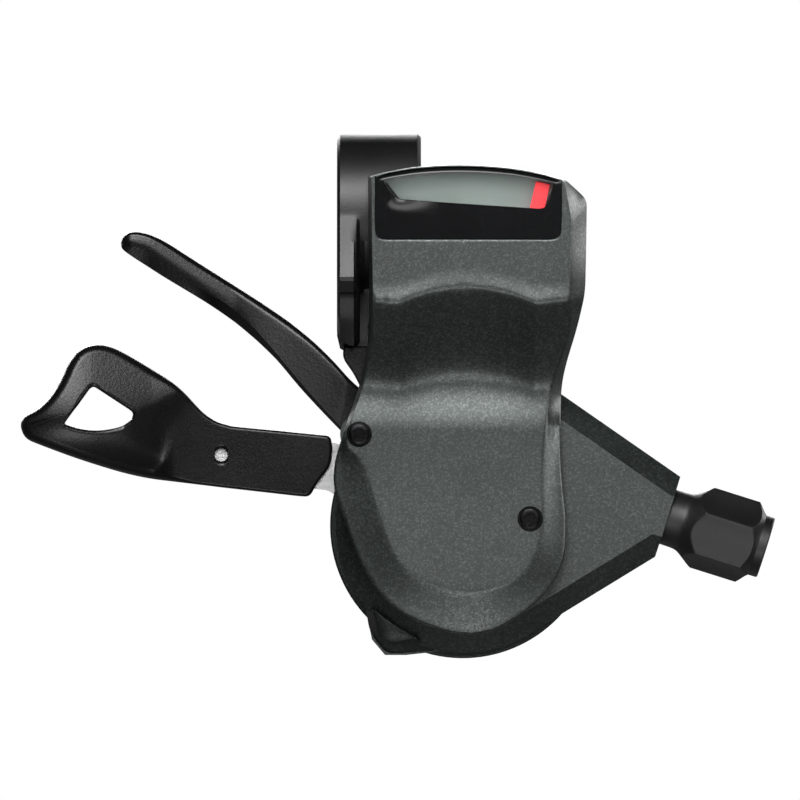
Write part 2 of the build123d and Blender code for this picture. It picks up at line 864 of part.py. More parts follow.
with BuildPart() as bracket_screws:
    for x in bracket_screw_x:
        place = (x, bracket_screw_z)
        add(disc(bracket_head_radius, -ear_front - bracket_head_height, -ear_front, centre=place))
        add(disc(bracket_screw_radius, -ear_front, lug_back, centre=place))
save(bracket_screws, "bracket_screws")


# Pivot stack: axle, bush, spacers, washer and nut
def spiral_spring(inner, turns, wire, gap, front, back, centre=(pivot_x, pivot_z)):
    """A flat spiral spring of half circles about two centres half a pitch apart."""
    step = (wire + gap) / 2
    with BuildPart() as spring:
        with BuildSketch(Plane(origin=(centre[0], back, centre[1]), x_dir=(1, 0, 0), z_dir=(0, -1, 0))):
            with BuildLine():
                for half in range(2 * turns):
                    radius = inner + half * step
                    side = 1 if half % 2 == 0 else -1
                    middle = 0 if half % 2 == 0 else step
                    ThreePointArc(
                        (middle + side * radius, 0), (middle, side * radius), (middle - side * radius, 0)
                    )
            trace(line_width=wire)
        extrude(amount=back - front)
    return spring.part


needle_ring_front = -spool_half - needle_sheet
rivet_front = needle_ring_front - rivet_rise
spring_back = rivet_front - layer_gap
spring_front = spring_back - spool_spring_height
axle_head_back = spring_front - face_clearance
ratchet_back = spool_half + ratchet_sheet
arm_back = arm_front + arm_sheet
release_back = release_front + release_sheet
nut_front = base_back + axle_washer_thickness
nut_back = nut_front + axle_nut_height

with BuildPart() as main_axle:
    add(disc(axle_head_radius, axle_head_back - axle_head_height, axle_head_back))
    add(disc(axle_radius, axle_head_back, nut_back + axle_end))
save(main_axle, "main_axle")

with BuildPart() as pivot_bush:
    add(disc(bush_radius, axle_head_back, case_back, axle_radius + press_clearance))
save(pivot_bush, "pivot_bush")

spacers = (
    ("ratchet_spacer", ratchet_back, arm_front),
    ("lever_spacer", arm_back, release_front),
    ("release_spacer", release_back, case_back),
)
for spacer_name, spacer_front, spacer_back in spacers:
    with BuildPart() as spacer:
        add(
            disc(
                washer_radius,
                spacer_front + face_clearance,
                spacer_back - face_clearance,
                bush_radius + press_clearance,
            )
        )
    save(spacer, spacer_name)

with BuildPart() as axle_washer:
    add(disc(axle_washer_radius, base_back, nut_front, axle_radius + press_clearance))
save(axle_washer, "axle_washer")

with BuildPart() as axle_nut:
    with BuildSketch(pivot_plane(nut_back)):
        RegularPolygon(axle_nut_radius, 6)
        Circle(axle_radius + press_clearance, mode=Mode.SUBTRACT)
    extrude(amount=axle_nut_height)
save(axle_nut, "axle_nut")

spring_inner = washer_radius + spring_wire
spring_list = (
    ("spool_spring", spring_front, spring_back),
    ("lever_spring", arm_back + layer_gap, release_front - layer_gap),
    ("release_spring", release_back + layer_gap, case_back - layer_gap),
)
for spring_name, front, back in spring_list:
    with BuildPart() as spring_node:
        add(spiral_spring(spring_inner, spring_turns, spring_wire, spring_turn_gap, front, back))
    save(spring_node, spring_name)

# Spool with its cable groove, the ratchet plate behind it and the needle in front, riveted together
rivet_places = [on_pivot(rivet_circle, rivet_turn + 360 * i / rivet_count) for i in range(rivet_count)]


def pierce(front, back):
    """The rivet holes through one layer of the spool."""
    with BuildPart() as holes:
        with BuildSketch(facing(back)):
            with Locations(*rivet_places):
                Circle(rivet_radius + press_clearance)
        extrude(amount=back - front)
    return holes.part


cable_end_place = on_pivot(cable_end_circle, cable_end_angle)
with BuildPart() as cable_spool:
    add(disc(spool_rim, -spool_half, -groove_radius, pivot_bore))
    add(disc(cable_line - groove_radius, -groove_radius, groove_radius, pivot_bore))
    add(disc(spool_rim, groove_radius, spool_half, pivot_bore))
    add(disc(cable_end_radius, -spool_half, groove_radius, centre=cable_end_place), mode=Mode.SUBTRACT)
    add(pierce(-spool_half, spool_half), mode=Mode.SUBTRACT)
save(cable_spool, "cable_spool")

tooth_pitch = 360 / ratchet_teeth
tooth_points = []
for tooth in range(ratchet_teeth):
    tooth_points.append(on_pivot(ratchet_root, tooth * tooth_pitch))
    tooth_points.append(on_pivot(ratchet_tip, (tooth + tooth_lean) * tooth_pitch))

with BuildPart() as ratchet_plate:
    add(slab(tooth_points, spool_half, ratchet_back))
    add(disc(pivot_bore, spool_half, ratchet_back), mode=Mode.SUBTRACT)
    add(pierce(spool_half, ratchet_back), mode=Mode.SUBTRACT)
save(ratchet_plate, "ratchet_plate")

lean = math.radians(needle_angle)
needle_plane = Plane(
    origin=(pivot_x, 0, pivot_z),
    x_dir=(math.sin(lean), 0, math.cos(lean)),
    z_dir=(math.cos(lean), 0, -math.sin(lean)),
)
ring_depth = spool_half + needle_sheet / 2
flag_depth = -(needle_front + needle_back) / 2

with BuildPart() as indicator_needle:
    with BuildSketch(needle_plane):
        with BuildLine():
            Polyline(
                (needle_ring - needle_width, ring_depth),
                (needle_bend_low, ring_depth),
                (needle_bend_low + flag_depth - ring_depth, flag_depth),
                (needle_high, flag_depth),
            )
        trace(line_width=needle_sheet)
    extrude(amount=needle_width / 2, both=True)
    add(disc(needle_ring, needle_ring_front, -spool_half))
    add(disc(pivot_bore, needle_ring_front, -spool_half), mode=Mode.SUBTRACT)
    add(pierce(needle_ring_front, -spool_half), mode=Mode.SUBTRACT)
save(indicator_needle, "indicator_needle")

with BuildPart() as spool_rivets:
    for place in rivet_places:
        add(disc(rivet_radius, rivet_front, ratchet_back + rivet_rise, centre=place))
        add(disc(rivet_head, rivet_front, needle_ring_front, centre=place))
        add(disc(rivet_head, ratchet_back, ratchet_back + rivet_rise, centre=place))
save(spool_rivets, "spool_rivets")


# Main lever: a cranked steel arm on the pivot, with a moulded thumb pad over its end
def band_points(start, end, width):
    """The two long edges of a straight strip: upper start, upper end, lower end, lower start."""
    run = math.hypot(end[0] - start[0], end[1] - start[1])
    side = ((end[1] - start[1]) / run * width / 2, (start[0] - end[0]) / run * width / 2)
    upper = [(start[0] + side[0], start[1] + side[1]), (end[0] + side[0], end[1] + side[1])]
    lower = [(end[0] - side[0], end[1] - side[1]), (start[0] - side[0], start[1] - side[1])]
    return upper + lower


def side_strip(front_points, back_points, low, high):
    """A bent strip drawn up between two heights from its front and back edges, both from right to left."""
    with BuildPart() as strip:
        with BuildSketch(Plane.XY.offset(low)):
            with BuildLine():
                Polyline(*front_points, *reversed(back_points), close=True)
            make_face()
        extrude(amount=high - low)
    return strip.part


drive_pin_place = on_pivot(drive_pawl_circle, drive_pawl_angle)
with BuildPart() as main_lever_arm:
    with BuildSketch(facing(arm_back)):
        with Locations((pivot_x, pivot_z)):
            Circle(lever_hub)
        for start, end in (((pivot_x, pivot_z), arm_elbow), (arm_elbow, arm_end)):
            with BuildLine():
                Polyline(*band_points(start, end, arm_width), close=True)
            make_face()
        with Locations(arm_elbow):
            Circle(arm_width / 2)
        with Locations((pivot_x, pivot_z)):
            Circle(pivot_bore, mode=Mode.SUBTRACT)
        with Locations(drive_pin_place):
            Circle(pawl_pin_radius + press_clearance, mode=Mode.SUBTRACT)
    extrude(amount=arm_sheet)
save(main_lever_arm, "main_lever_arm")

pad_front = arm_front - pad_wall
pad_back = arm_back + pad_wall
paddle_front = pad_front - paddle_rise
paddle_back = paddle_front + paddle_thickness
pad_edge_top = [(-25.0, -35.3), (-30.5, -32.3), (-35.5, -27.4), (-43.0, -22.7), (-48.0, -21.5)]
pad_edge_end = [(-51.6, -24.3), (-53.4, -28.2), (-56.4, -32.1)]
pad_edge_tip = [(-59.5, -34.2), (-59.2, -37.4), (-50.5, -40.8), (-38.3, -44.2)]
pad_socket = [(-11.8, -47.4), (-7.9, -41.4), (-8.1, -37.0)]
paddle_hole = [(-47.9, -28.6), (-41.0, -33.0), (-46.2, -36.2), (-52.4, -34.9)]
with BuildPart() as paddle_window:
    with BuildSketch(facing(pad_back + paddle_thickness)) as window_shape:
        with BuildLine():
            Polyline(*paddle_hole, close=True)
        make_face()
        fillet(window_shape.vertices(), paddle_hole_corner)
    extrude(amount=pad_back + 2 * paddle_thickness + paddle_rise)

with BuildPart() as main_lever_pad:
    with BuildSketch(facing(pad_back + paddle_thickness)):
        with BuildLine():
            Spline(*pad_edge_top, *pad_edge_end, *pad_edge_tip)
            Polyline(pad_edge_tip[-1], *pad_socket, pad_edge_top[0])
        make_face()
    extrude(amount=pad_back + 2 * paddle_thickness + paddle_rise)
    add(paddle_window.part, mode=Mode.SUBTRACT)
    add(
        side_strip(
            list(zip(pad_stations, (pad_front, pad_front, pad_front - pad_bend_front, paddle_front))),
            list(zip(pad_stations, (pad_back, pad_back, pad_back - pad_bend_back, paddle_back))),
            pivot_z,
            0,
        ),
        mode=Mode.INTERSECT,
    )
    add(main_lever_arm.part, mode=Mode.SUBTRACT)
    add(disc(pad_pin_hole, pad_front, arm_front, centre=pad_pin_place), mode=Mode.SUBTRACT)
save(main_lever_pad, "main_lever_pad")

# Release lever: a plate on the pivot that cranks back behind the bar and ends in a finger tip
release_top = [(-4.8, -27.7), (-11.2, -21.0), (-20.3, -14.3), (-30.7, -7.7), (-39.6, -2.9)]
release_low = [(-42.9, -6.0), (-36.4, -10.2), (-28.7, -14.8), (-23.0, -18.8), (-17.3, -24.0), (-11.5, -31.2)]
release_tip_front = release_tip_depth - release_tip_thickness
hub_top = (pivot_x - hub_ease, pivot_z + lever_hub - hub_ease)
hub_low = (pivot_x - hub_ease, pivot_z)
hub_side = (pivot_x - lever_hub + hub_ease, pivot_z)
with BuildPart() as release_lever:
    with BuildSketch(facing(release_tip_depth)):
        with BuildLine():
            Polyline(hub_top, release_top[0])
            Spline(*release_top)
            ThreePointArc(release_top[-1], release_tip, release_low[0])
            Spline(*release_low)
            Polyline(release_low[-1], release_elbow, hub_side, hub_low)
            Line(hub_low, hub_top)
        make_face()
        with Locations((pivot_x, pivot_z)):
            Circle(lever_hub)
    extrude(amount=release_tip_depth)
    add(
        side_strip(
            list(zip(release_stations, (release_front, release_front, release_mid[0], release_tip_front))),
            list(zip(release_stations, (release_back, release_back, release_mid[1], release_tip_depth))),
            pivot_z - 2 * lever_hub,
            0,
        ),
        mode=Mode.INTERSECT,
    )
    add(disc(pivot_bore, release_front, release_back), mode=Mode.SUBTRACT)
save(release_lever, "release_lever")

# Pawls in the ratchet's plane, drawn just clear of its teeth
pawl_front = spool_half + face_clearance
pawl_back = ratchet_back - face_clearance
pawl_bore = pawl_pin_radius + running_clearance
pin_collar = pawl_pin_radius + pin_collar_wall


def pawl(circle, angle):
    """A pawl whose hub is on a circle round the pivot and whose tip points round to the teeth."""
    tip_angle = angle + math.degrees(pawl_reach / circle)
    place = on_pivot(circle, angle)
    tip = ratchet_tip + pawl_tip_gap
    nose = [on_pivot(circle - pawl_shoulder, angle), on_pivot(tip, tip_angle)]
    nose += [on_pivot(tip + pawl_tip_width, tip_angle), on_pivot(circle + pawl_shoulder, angle)]
    with BuildPart() as finger:
        add(disc(pawl_hub, pawl_front, pawl_back, centre=place))
        add(slab(nose, pawl_front, pawl_back))
        add(disc(pawl_bore, pawl_front, pawl_back, centre=place), mode=Mode.SUBTRACT)
    return finger.part


for pawl_name, circle, angle in (
    ("drive_pawl", drive_pawl_circle, drive_pawl_angle),
    ("hold_pawl", hold_pawl_circle, hold_pawl_angle),
):
    with BuildPart() as pawl_node:
        add(pawl(circle, angle))
    save(pawl_node, pawl_name)

for pin_name, place, pin_back in (
    ("drive_pawl_pin", drive_pin_place, arm_back),
    ("hold_pawl_pin", hold_pin_place, case_back),
):
    with BuildPart() as pin_node:
        add(disc(pawl_pin_radius, spool_half, pin_back, centre=place))
        add(disc(pin_collar, ratchet_back, ratchet_back + pin_collar_height, centre=place))
    save(pin_node, pin_name)

for spring_name, place in (("drive_pawl_spring", drive_pin_place), ("hold_pawl_spring", hold_pin_place)):
    front = ratchet_back + pin_collar_height + face_clearance
    with BuildPart() as pawl_spring:
        add(
            spiral_spring(
                pawl_spring_inner,
                spring_turns,
                pawl_spring_wire,
                pawl_spring_gap,
                front,
                front + pawl_spring_height,
                centre=place,
            )
        )
    save(pawl_spring, spring_name)

# Barrel adjuster: knob, its hollow screw in the nose, and the housing seat that stays still as the knob turns
hex_start = seat_gap + neck_length
hex_full = hex_start + flare_length
hex_end = hex_full + knob_length
collar_start = hex_end + collar_step
knob_end = hex_end + collar_length
seat_start = knob_end - ferrule_depth
seat_radius = ferrule_radius + seat_wall
nose_centre = (nose_end[0], 0, nose_end[1])
nose_axis = (nose_along[0], 0, nose_along[1])

with BuildPart() as knob_turning:
    with BuildSketch(Plane(origin=nose_centre, x_dir=nose_axis, z_dir=(0, -1, 0))):
        with BuildLine():
            Polyline(
                (hex_start, 0),
                (hex_start, neck_radius),
                (hex_full, knob_corner),
                (hex_end - knob_edge, knob_corner),
                (collar_start, collar_radius),
                (collar_start, 0),
                close=True,
            )
        make_face()
    revolve(axis=Axis(nose_centre, nose_axis))

with BuildPart() as adjuster_knob:
    with BuildSketch(adjuster_plane(hex_start)):
        RegularPolygon(knob_corner, 6, rotation=knob_roll)
    extrude(amount=collar_start - hex_start)
    add(knob_turning.part, mode=Mode.INTERSECT)
    add(rod(neck_radius, seat_gap, hex_start))
    add(rod(collar_radius, collar_start, knob_end))
    add(rod(adjuster_bolt_radius, seat_gap, seat_start), mode=Mode.SUBTRACT)
    add(rod(seat_radius + running_clearance, seat_start - face_clearance, knob_end), mode=Mode.SUBTRACT)
save(adjuster_knob, "adjuster_knob")

with BuildPart() as adjuster_bolt:
    add(rod(adjuster_bolt_radius, insert_start, seat_start - face_clearance, adjuster_bore))
save(adjuster_bolt, "adjuster_bolt")

with BuildPart() as adjuster_insert:
    add(rod(insert_radius, insert_start, 0.0, adjuster_bolt_radius + thread_clearance))
save(adjuster_insert, "adjuster_insert")

with BuildPart() as housing_seat:
    add(rod(seat_radius, seat_start, knob_end, adjuster_bore))
    add(rod(ferrule_radius, seat_start + seat_floor, knob_end), mode=Mode.SUBTRACT)
save(housing_seat, "housing_seat")
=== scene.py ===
import json
import logging
import math
from dataclasses import dataclass
from enum import Enum
from typing import Dict, Sequence, Tuple

import bmesh
import bpy
import numpy as np
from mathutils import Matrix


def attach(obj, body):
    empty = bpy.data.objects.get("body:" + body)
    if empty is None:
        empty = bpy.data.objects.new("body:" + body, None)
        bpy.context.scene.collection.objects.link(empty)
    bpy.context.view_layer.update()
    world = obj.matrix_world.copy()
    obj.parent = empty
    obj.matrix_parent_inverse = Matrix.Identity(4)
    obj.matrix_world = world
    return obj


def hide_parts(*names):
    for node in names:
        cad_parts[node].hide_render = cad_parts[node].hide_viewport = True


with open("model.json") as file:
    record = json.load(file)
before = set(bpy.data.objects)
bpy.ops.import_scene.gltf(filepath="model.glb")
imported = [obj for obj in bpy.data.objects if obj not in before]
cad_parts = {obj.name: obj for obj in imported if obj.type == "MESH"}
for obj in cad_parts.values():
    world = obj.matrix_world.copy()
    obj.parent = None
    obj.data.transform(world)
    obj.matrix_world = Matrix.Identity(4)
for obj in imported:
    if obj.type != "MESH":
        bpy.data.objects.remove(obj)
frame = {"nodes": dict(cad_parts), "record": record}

logging.basicConfig(level=logging.INFO, format="%(message)s")
log = logging.getLogger("trigger_shifter")

MM = 0.001
TINY = 1e-9
MERGE = 2e-6
SLIVER = 1e-7
FAR = 9.0
LONGEST_CUT = 0.48
PIVOT = (14.0, -52.0)
NOSE_END = (48.2, -50.5)
NOSE_TILT = math.radians(17.5)
NOISE_SPAN = (0.3, 0.7)

Colour = Tuple[float, float, float]
Place = Tuple[float, float, float]
Point = Tuple[float, float]


class Slot(Enum):
    """Material slots of the record that the pieces take their finish from."""

    COVER = "cover_paint"
    CASE = "case_paint"
    PLASTIC = "black_plastic"
    GLOSS = "black_gloss"
    WINDOW = "clear_window"
    DIAL = "dial_grey"
    NEEDLE = "needle_red"
    BAND = "band_black"
    STEEL = "steel"
    SPRING = "spring_steel"
    DARK_STEEL = "black_steel"
    BRASS = "brass"
    RESIN = "grey_resin"
    ALUMINIUM = "aluminium"


class Socket(Enum):
    """Kinds of socket on the shared node groups."""

    VECTOR = "NodeSocketVector"
    NUMBER = "NodeSocketFloat"
    COLOUR = "NodeSocketColor"


# Shapes worked out as arrays, in millimetres


def ease(t: np.ndarray) -> np.ndarray:
    """Smooth step of t held between 0 and 1: three t squared less two t cubed."""
    c = np.clip(t, 0.0, 1.0)
    return c * c * (3.0 - 2.0 * c)


def soft_min(a: np.ndarray, b: np.ndarray, k: float) -> np.ndarray:
    """The lower of two heights, rounded over about k where they cross."""
    return 0.5 * (a + b - np.sqrt((a - b) ** 2 + k * k))


def soft_max(a: np.ndarray, b: np.ndarray, k: float) -> np.ndarray:
    """The higher of two heights, filled over about k where they cross."""
    return 0.5 * (a + b + np.sqrt((a - b) ** 2 + k * k))


def full_turn(count: int) -> np.ndarray:
    """Angles of a full turn in equal steps, without the last, which is the first again."""
    return np.linspace(0.0, 2.0 * np.pi, count, endpoint=False)


def raise_plan(plan: np.ndarray, y: np.ndarray) -> np.ndarray:
    """Points of a plan in X and Z, each put at its Y."""
    return np.stack([plan[..., 0], np.broadcast_to(y, plan.shape[:-1]), plan[..., 1]], axis=-1)


def rounded_loop(points: np.ndarray, cuts: np.ndarray, arc: int, run: int) -> np.ndarray:
    """Closed outline with its corners rounded.

    Each corner is a quadratic curve that leaves its two sides at the cut length from the corner, or just
    before half the side where that is shorter, and each side between two corners is a straight run.

    Args:
        points: Corners, shape (v, 2).
        cuts: Cut length at each corner, shape (v,).
        arc: Points on each corner.
        run: Points on each side between two corners.

    Returns:
        Outline points, shape (v * (arc + run), 2).
    """
    back = np.roll(points, 1, axis=0) - points
    ahead = np.roll(points, -1, axis=0) - points
    back_len = np.maximum(np.linalg.norm(back, axis=1, keepdims=True), TINY)
    ahead_len = np.maximum(np.linalg.norm(ahead, axis=1, keepdims=True), TINY)
    start = points + back * np.minimum(cuts[:, None] / back_len, LONGEST_CUT)
    end = points + ahead * np.minimum(cuts[:, None] / ahead_len, LONGEST_CUT)
    t = np.linspace(0.0, 1.0, arc)[None, :, None]
    corner = (1 - t) ** 2 * start[:, None] + 2 * t * (1 - t) * points[:, None] + t * t * end[:, None]
    s = ((np.arange(run) + 1.0) / (run + 1.0))[None, :, None]
    side = end[:, None] + (np.roll(start, -1, axis=0) - end)[:, None] * s
    return np.concatenate([corner, side], axis=1).reshape(-1, 2)


def inset_loop(loop: np.ndarray, depth: np.ndarray) -> np.ndarray:
    """A clockwise outline moved inward, square to the line between the second points before and after.

    Args:
        loop: Outline points, shape (n, 2).
        depth: Distance inward at each point, shape (n,).

    Returns:
        Moved points, shape (n, 2).
    """
    way = np.roll(loop, -2, axis=0) - np.roll(loop, 2, axis=0)
    long = np.maximum(np.linalg.norm(way, axis=1, keepdims=True), TINY)
    across = np.stack([way[:, 1], -way[:, 0]], axis=1) / long
    return loop + depth[:, None] * across


def grid_quads(rows: int, cols: int) -> np.ndarray:
    """Corner numbers of the faces of a grid stored row by row, whose rows close on themselves.

    Args:
        rows: Number of rows.
        cols: Number of points in a row.

    Returns:
        Faces, shape ((rows - 1) * cols, 4).
    """
    r = np.arange(rows - 1)[:, None]
    c = np.arange(cols)[None, :]
    n = (c + 1) % cols
    quads = np.stack([r * cols + c, r * cols + n, (r + 1) * cols + n, (r + 1) * cols + c], axis=-1)
    return quads.reshape(-1, 4)


def make_piece(name: str, points: np.ndarray, faces: np.ndarray, sharp: float,
               sheet: bool = False) -> bpy.types.Object:
    """Put an array shape into a mesh object at the origin, with doubles merged and faces outward.

    Args:
        name: Name of the piece.
        points: Points in millimetres, shape (..., 3).
        faces: Four corner numbers per face, shape (f, 4).
        sharp: Edges that turn by more than this many degrees stay sharp.
        sheet: Whether the shape is an open sheet, whose faces look towards -Y.

    Returns:
        The new object.
    """
    mesh = bpy.data.meshes.new(name)
    mesh.vertices.add(points.size // 3)
    mesh.vertices.foreach_set("co", (np.asarray(points, dtype=np.float64) * MM).ravel())
    mesh.loops.add(faces.size)
    mesh.loops.foreach_set("vertex_index", faces.ravel().astype(np.int32))
    mesh.polygons.add(len(faces))
    mesh.polygons.foreach_set("loop_start", np.arange(0, faces.size, 4, dtype=np.int32))
    mesh.update(calc_edges=True)
    mesh.validate()
    work = bmesh.new()
    work.from_mesh(mesh)
    bmesh.ops.remove_doubles(work, verts=work.verts, dist=MERGE)
    bmesh.ops.dissolve_degenerate(work, edges=work.edges, dist=SLIVER)
    if not sheet:
        bmesh.ops.recalc_face_normals(work, faces=work.faces)
    elif sum(face.normal.y * face.calc_area() for face in work.faces) > 0:
        bmesh.ops.reverse_faces(work, faces=work.faces)
    work.to_mesh(mesh)
    work.free()
    mesh.polygons.foreach_set("use_smooth", np.ones(len(mesh.polygons), dtype=bool))
    mesh.set_sharp_from_angle(angle=math.radians(sharp))
    piece = bpy.data.objects.new(name, mesh)
    bpy.context.scene.collection.objects.link(piece)
    return piece


def make_round(name: str, grid: np.ndarray, sharp: float) -> bpy.types.Object:
    """Make a piece of one grid, shape (rows, columns, 3), whose rows close on themselves."""
    return make_piece(name, grid, grid_quads(grid.shape[0], grid.shape[1]), sharp)


def break_edges(piece: bpy.types.Object, width: float, angle: float) -> None:
    """Bevel the edges that turn by more than an angle.

    Args:
        piece: Object to bevel.
        width: Width of the bevel in metres.
        angle: Least turn in degrees.
    """
    edge = piece.modifiers.new("edge", "BEVEL")
    edge.width = width
    edge.segments = 2
    edge.limit_method = "ANGLE"
    edge.angle_limit = math.radians(angle)
    edge.use_clamp_overlap = True
    edge.harden_normals = True


# Finishes


def opaque(colour: Colour) -> Tuple[float, float, float, float]:
    """A colour with an alpha of 1."""
    return (*colour, 1.0)


def feed(tree: bpy.types.NodeTree, source: object, socket: bpy.types.NodeSocket) -> None:
    """Link a socket to its source, or set it where the source is a plain value."""
    if isinstance(source, bpy.types.NodeSocket):
        tree.links.new(source, socket)
    else:
        socket.default_value = source


def maths(tree: bpy.types.NodeTree, operation: str, *sources: object) -> bpy.types.NodeSocket:
    """Place a Math node on sockets or numbers.

    Args:
        tree: Node tree to place it in.
        operation: Name of the operation.
        sources: Sockets or numbers, in order.

    Returns:
        Its result.
    """
    node = tree.nodes.new("ShaderNodeMath")
    node.operation = operation
    for place, source in enumerate(sources):
        feed(tree, source, node.inputs[place])
    return node.outputs[0]


def span(tree: bpy.types.NodeTree, source: bpy.types.NodeSocket, low: Tuple[float, float],
         high: Tuple[object, object]) -> bpy.types.NodeSocket:
    """Place a Map Range that takes one range to another.

    Args:
        tree: Node tree to place it in.
        source: Value to map.
        low: Range of the incoming value.
        high: Range of the outgoing value, numbers or sockets.

    Returns:
        The mapped value.
    """
    node = tree.nodes.new("ShaderNodeMapRange")
    for name, value in zip(("Value", "From Min", "From Max", "To Min", "To Max"), (source, *low, *high)):
        feed(tree, value, node.inputs[name])
    return node.outputs["Result"]


def blend(tree: bpy.types.NodeTree, share: bpy.types.NodeSocket, first: object,
          second: object) -> bpy.types.NodeSocket:
    """Place a Mix node that goes from one colour to another.

    Args:
        tree: Node tree to place it in.
        share: Share of the second colour.
        first: Colour or socket at 0.
        second: Colour or socket at 1.

    Returns:
        The mixed colour.
    """
    node = tree.nodes.new("ShaderNodeMix")
    node.data_type = "RGBA"
    tree.links.new(share, node.inputs["Factor"])
    colours = [socket for socket in node.inputs if socket.type == "RGBA"]
    feed(tree, first, colours[0])
    feed(tree, second, colours[1])
    return next(socket for socket in node.outputs if socket.type == "RGBA")


def texture_noise(tree: bpy.types.NodeTree, place: bpy.types.NodeSocket, scale: object, detail: float,
                  rough: float) -> bpy.types.NodeSocket:
    """Place a noise texture.

    Args:
        tree: Node tree to place it in.
        place: Coordinates.
        scale: Scale, a number or a socket.
        detail: Detail.
        rough: Roughness.

    Returns:
        The noise's value.
    """
    node = tree.nodes.new("ShaderNodeTexNoise")
    for name, value in zip(("Vector", "Scale", "Detail", "Roughness"), (place, scale, detail, rough)):
        feed(tree, value, node.inputs[name])
    return node.outputs["Fac"]


def texture_cells(tree: bpy.types.NodeTree, place: bpy.types.NodeSocket,
                  scale: bpy.types.NodeSocket) -> bpy.types.Node:
    """Place a texture of cells with the given coordinates and scale."""
    node = tree.nodes.new("ShaderNodeTexVoronoi")
    tree.links.new(place, node.inputs["Vector"])
    tree.links.new(scale, node.inputs["Scale"])
    return node


def start_group(name: str, inputs: Sequence[Tuple[str, Socket, object]],
                outputs: Sequence[str]) -> Tuple[bpy.types.NodeTree, bpy.types.Node, bpy.types.Node]:
    """Start a shader node group with named sockets.

    Args:
        name: Name of the group.
        inputs: Name, kind and usual value of each input after Vector.
        outputs: Names of the outputs after Colour, which are numbers.

    Returns:
        The group, its input node and its output node.
    """
    tree = bpy.data.node_groups.new(name, "ShaderNodeTree")
    for title, kind, value in (("Vector", Socket.VECTOR, (0.0, 0.0, 0.0)), *inputs):
        socket = tree.interface.new_socket(name=title, in_out="INPUT", socket_type=kind.value)
        socket.default_value = value
    tree.interface.new_socket(name="Colour", in_out="OUTPUT", socket_type=Socket.COLOUR.value)
    for title in outputs:
        tree.interface.new_socket(name=title, in_out="OUTPUT", socket_type=Socket.NUMBER.value)
    return tree, tree.nodes.new("NodeGroupInput"), tree.nodes.new("NodeGroupOutput")


class Groups:
    """Node groups that several finishes share, each built once."""

    made: Dict[str, bpy.types.NodeTree] = {}
    spark_power: float = 3.0
    drift_scale: float = 90.0
    drift_share: float = 0.22
    flake_gloss: Tuple[float, float] = (0.35, 0.5)
    cell_scale: float = 0.7
    cell_height: float = 0.5
    fine_share: float = 0.7
    slow_scale: float = 60.0
    slow_span: Tuple[float, float] = (0.35, 0.65)
    slow_share: float = 0.3

    @classmethod
    def fleck(cls) -> bpy.types.NodeTree:
        """Metal flakes in paint: small cells, each a little lighter or darker, over a slow drift of tone.

        Returns:
            Group with Vector, Size, Contrast, Dark and Light in, Colour, Gloss, Spark and Height out.
        """
        if "fleck" in cls.made:
            return cls.made["fleck"]
        inputs = (("Size", Socket.NUMBER, 5000.0), ("Contrast", Socket.NUMBER, 0.5),
                  ("Dark", Socket.COLOUR, (0.02, 0.02, 0.02, 1.0)),
                  ("Light", Socket.COLOUR, (0.1, 0.1, 0.1, 1.0)))
        tree, inside, outside = start_group("paint_fleck", inputs, ("Gloss", "Spark", "Height"))
        given = inside.outputs
        cells = texture_cells(tree, given["Vector"], given["Size"])
        tone = tree.nodes.new("ShaderNodeSeparateColor")
        tree.links.new(cells.outputs["Color"], tone.inputs["Color"])
        drift = texture_noise(tree, given["Vector"], cls.drift_scale, 3.0, 0.6)
        peak = maths(tree, "POWER", tone.outputs[0], cls.spark_power)
        spark = maths(tree, "MULTIPLY", peak, given["Contrast"])
        share = maths(tree, "ADD", spark, span(tree, drift, NOISE_SPAN, (0.0, cls.drift_share)))
        gloss = span(tree, tone.outputs[1], (0.0, 1.0), cls.flake_gloss)
        tree.links.new(blend(tree, share, given["Dark"], given["Light"]), outside.inputs["Colour"])
        tree.links.new(gloss, outside.inputs["Gloss"])
        tree.links.new(spark, outside.inputs["Spark"])
        tree.links.new(tone.outputs[2], outside.inputs["Height"])
        cls.made["fleck"] = tree
        return tree

    @classmethod
    def grain(cls) -> bpy.types.NodeTree:
        """Fine spark-eroded grain of a moulded face: noise and cells, and a slow drift of tone and gloss.

        Returns:
            Group with Vector, Size, Dark, Light, Smooth and Rough in, Colour, Gloss and Height out.
        """
        if "grain" in cls.made:
            return cls.made["grain"]
        inputs = (("Size", Socket.NUMBER, 2600.0),
                  ("Dark", Socket.COLOUR, (0.01, 0.01, 0.01, 1.0)),
                  ("Light", Socket.COLOUR, (0.03, 0.03, 0.03, 1.0)),
                  ("Smooth", Socket.NUMBER, 0.4), ("Rough", Socket.NUMBER, 0.6))
        tree, inside, outside = start_group("mould_grain", inputs, ("Gloss", "Height"))
        given = inside.outputs
        fine = texture_noise(tree, given["Vector"], given["Size"], 2.0, 0.6)
        cells = texture_cells(tree, given["Vector"], maths(tree, "MULTIPLY", given["Size"], cls.cell_scale))
        slow = texture_noise(tree, given["Vector"], cls.slow_scale, 4.0, 0.55)
        pits = maths(tree, "MULTIPLY", cells.outputs["Distance"], cls.cell_height)
        share = maths(tree, "ADD", span(tree, fine, NOISE_SPAN, (0.0, cls.fine_share)),
                      span(tree, slow, cls.slow_span, (0.0, cls.slow_share)))
        gloss = span(tree, slow, NOISE_SPAN, (given["Smooth"], given["Rough"]))
        tree.links.new(blend(tree, share, given["Dark"], given["Light"]), outside.inputs["Colour"])
        tree.links.new(gloss, outside.inputs["Gloss"])
        tree.links.new(maths(tree, "ADD", fine, pits), outside.inputs["Height"])
        cls.made["grain"] = tree
        return tree


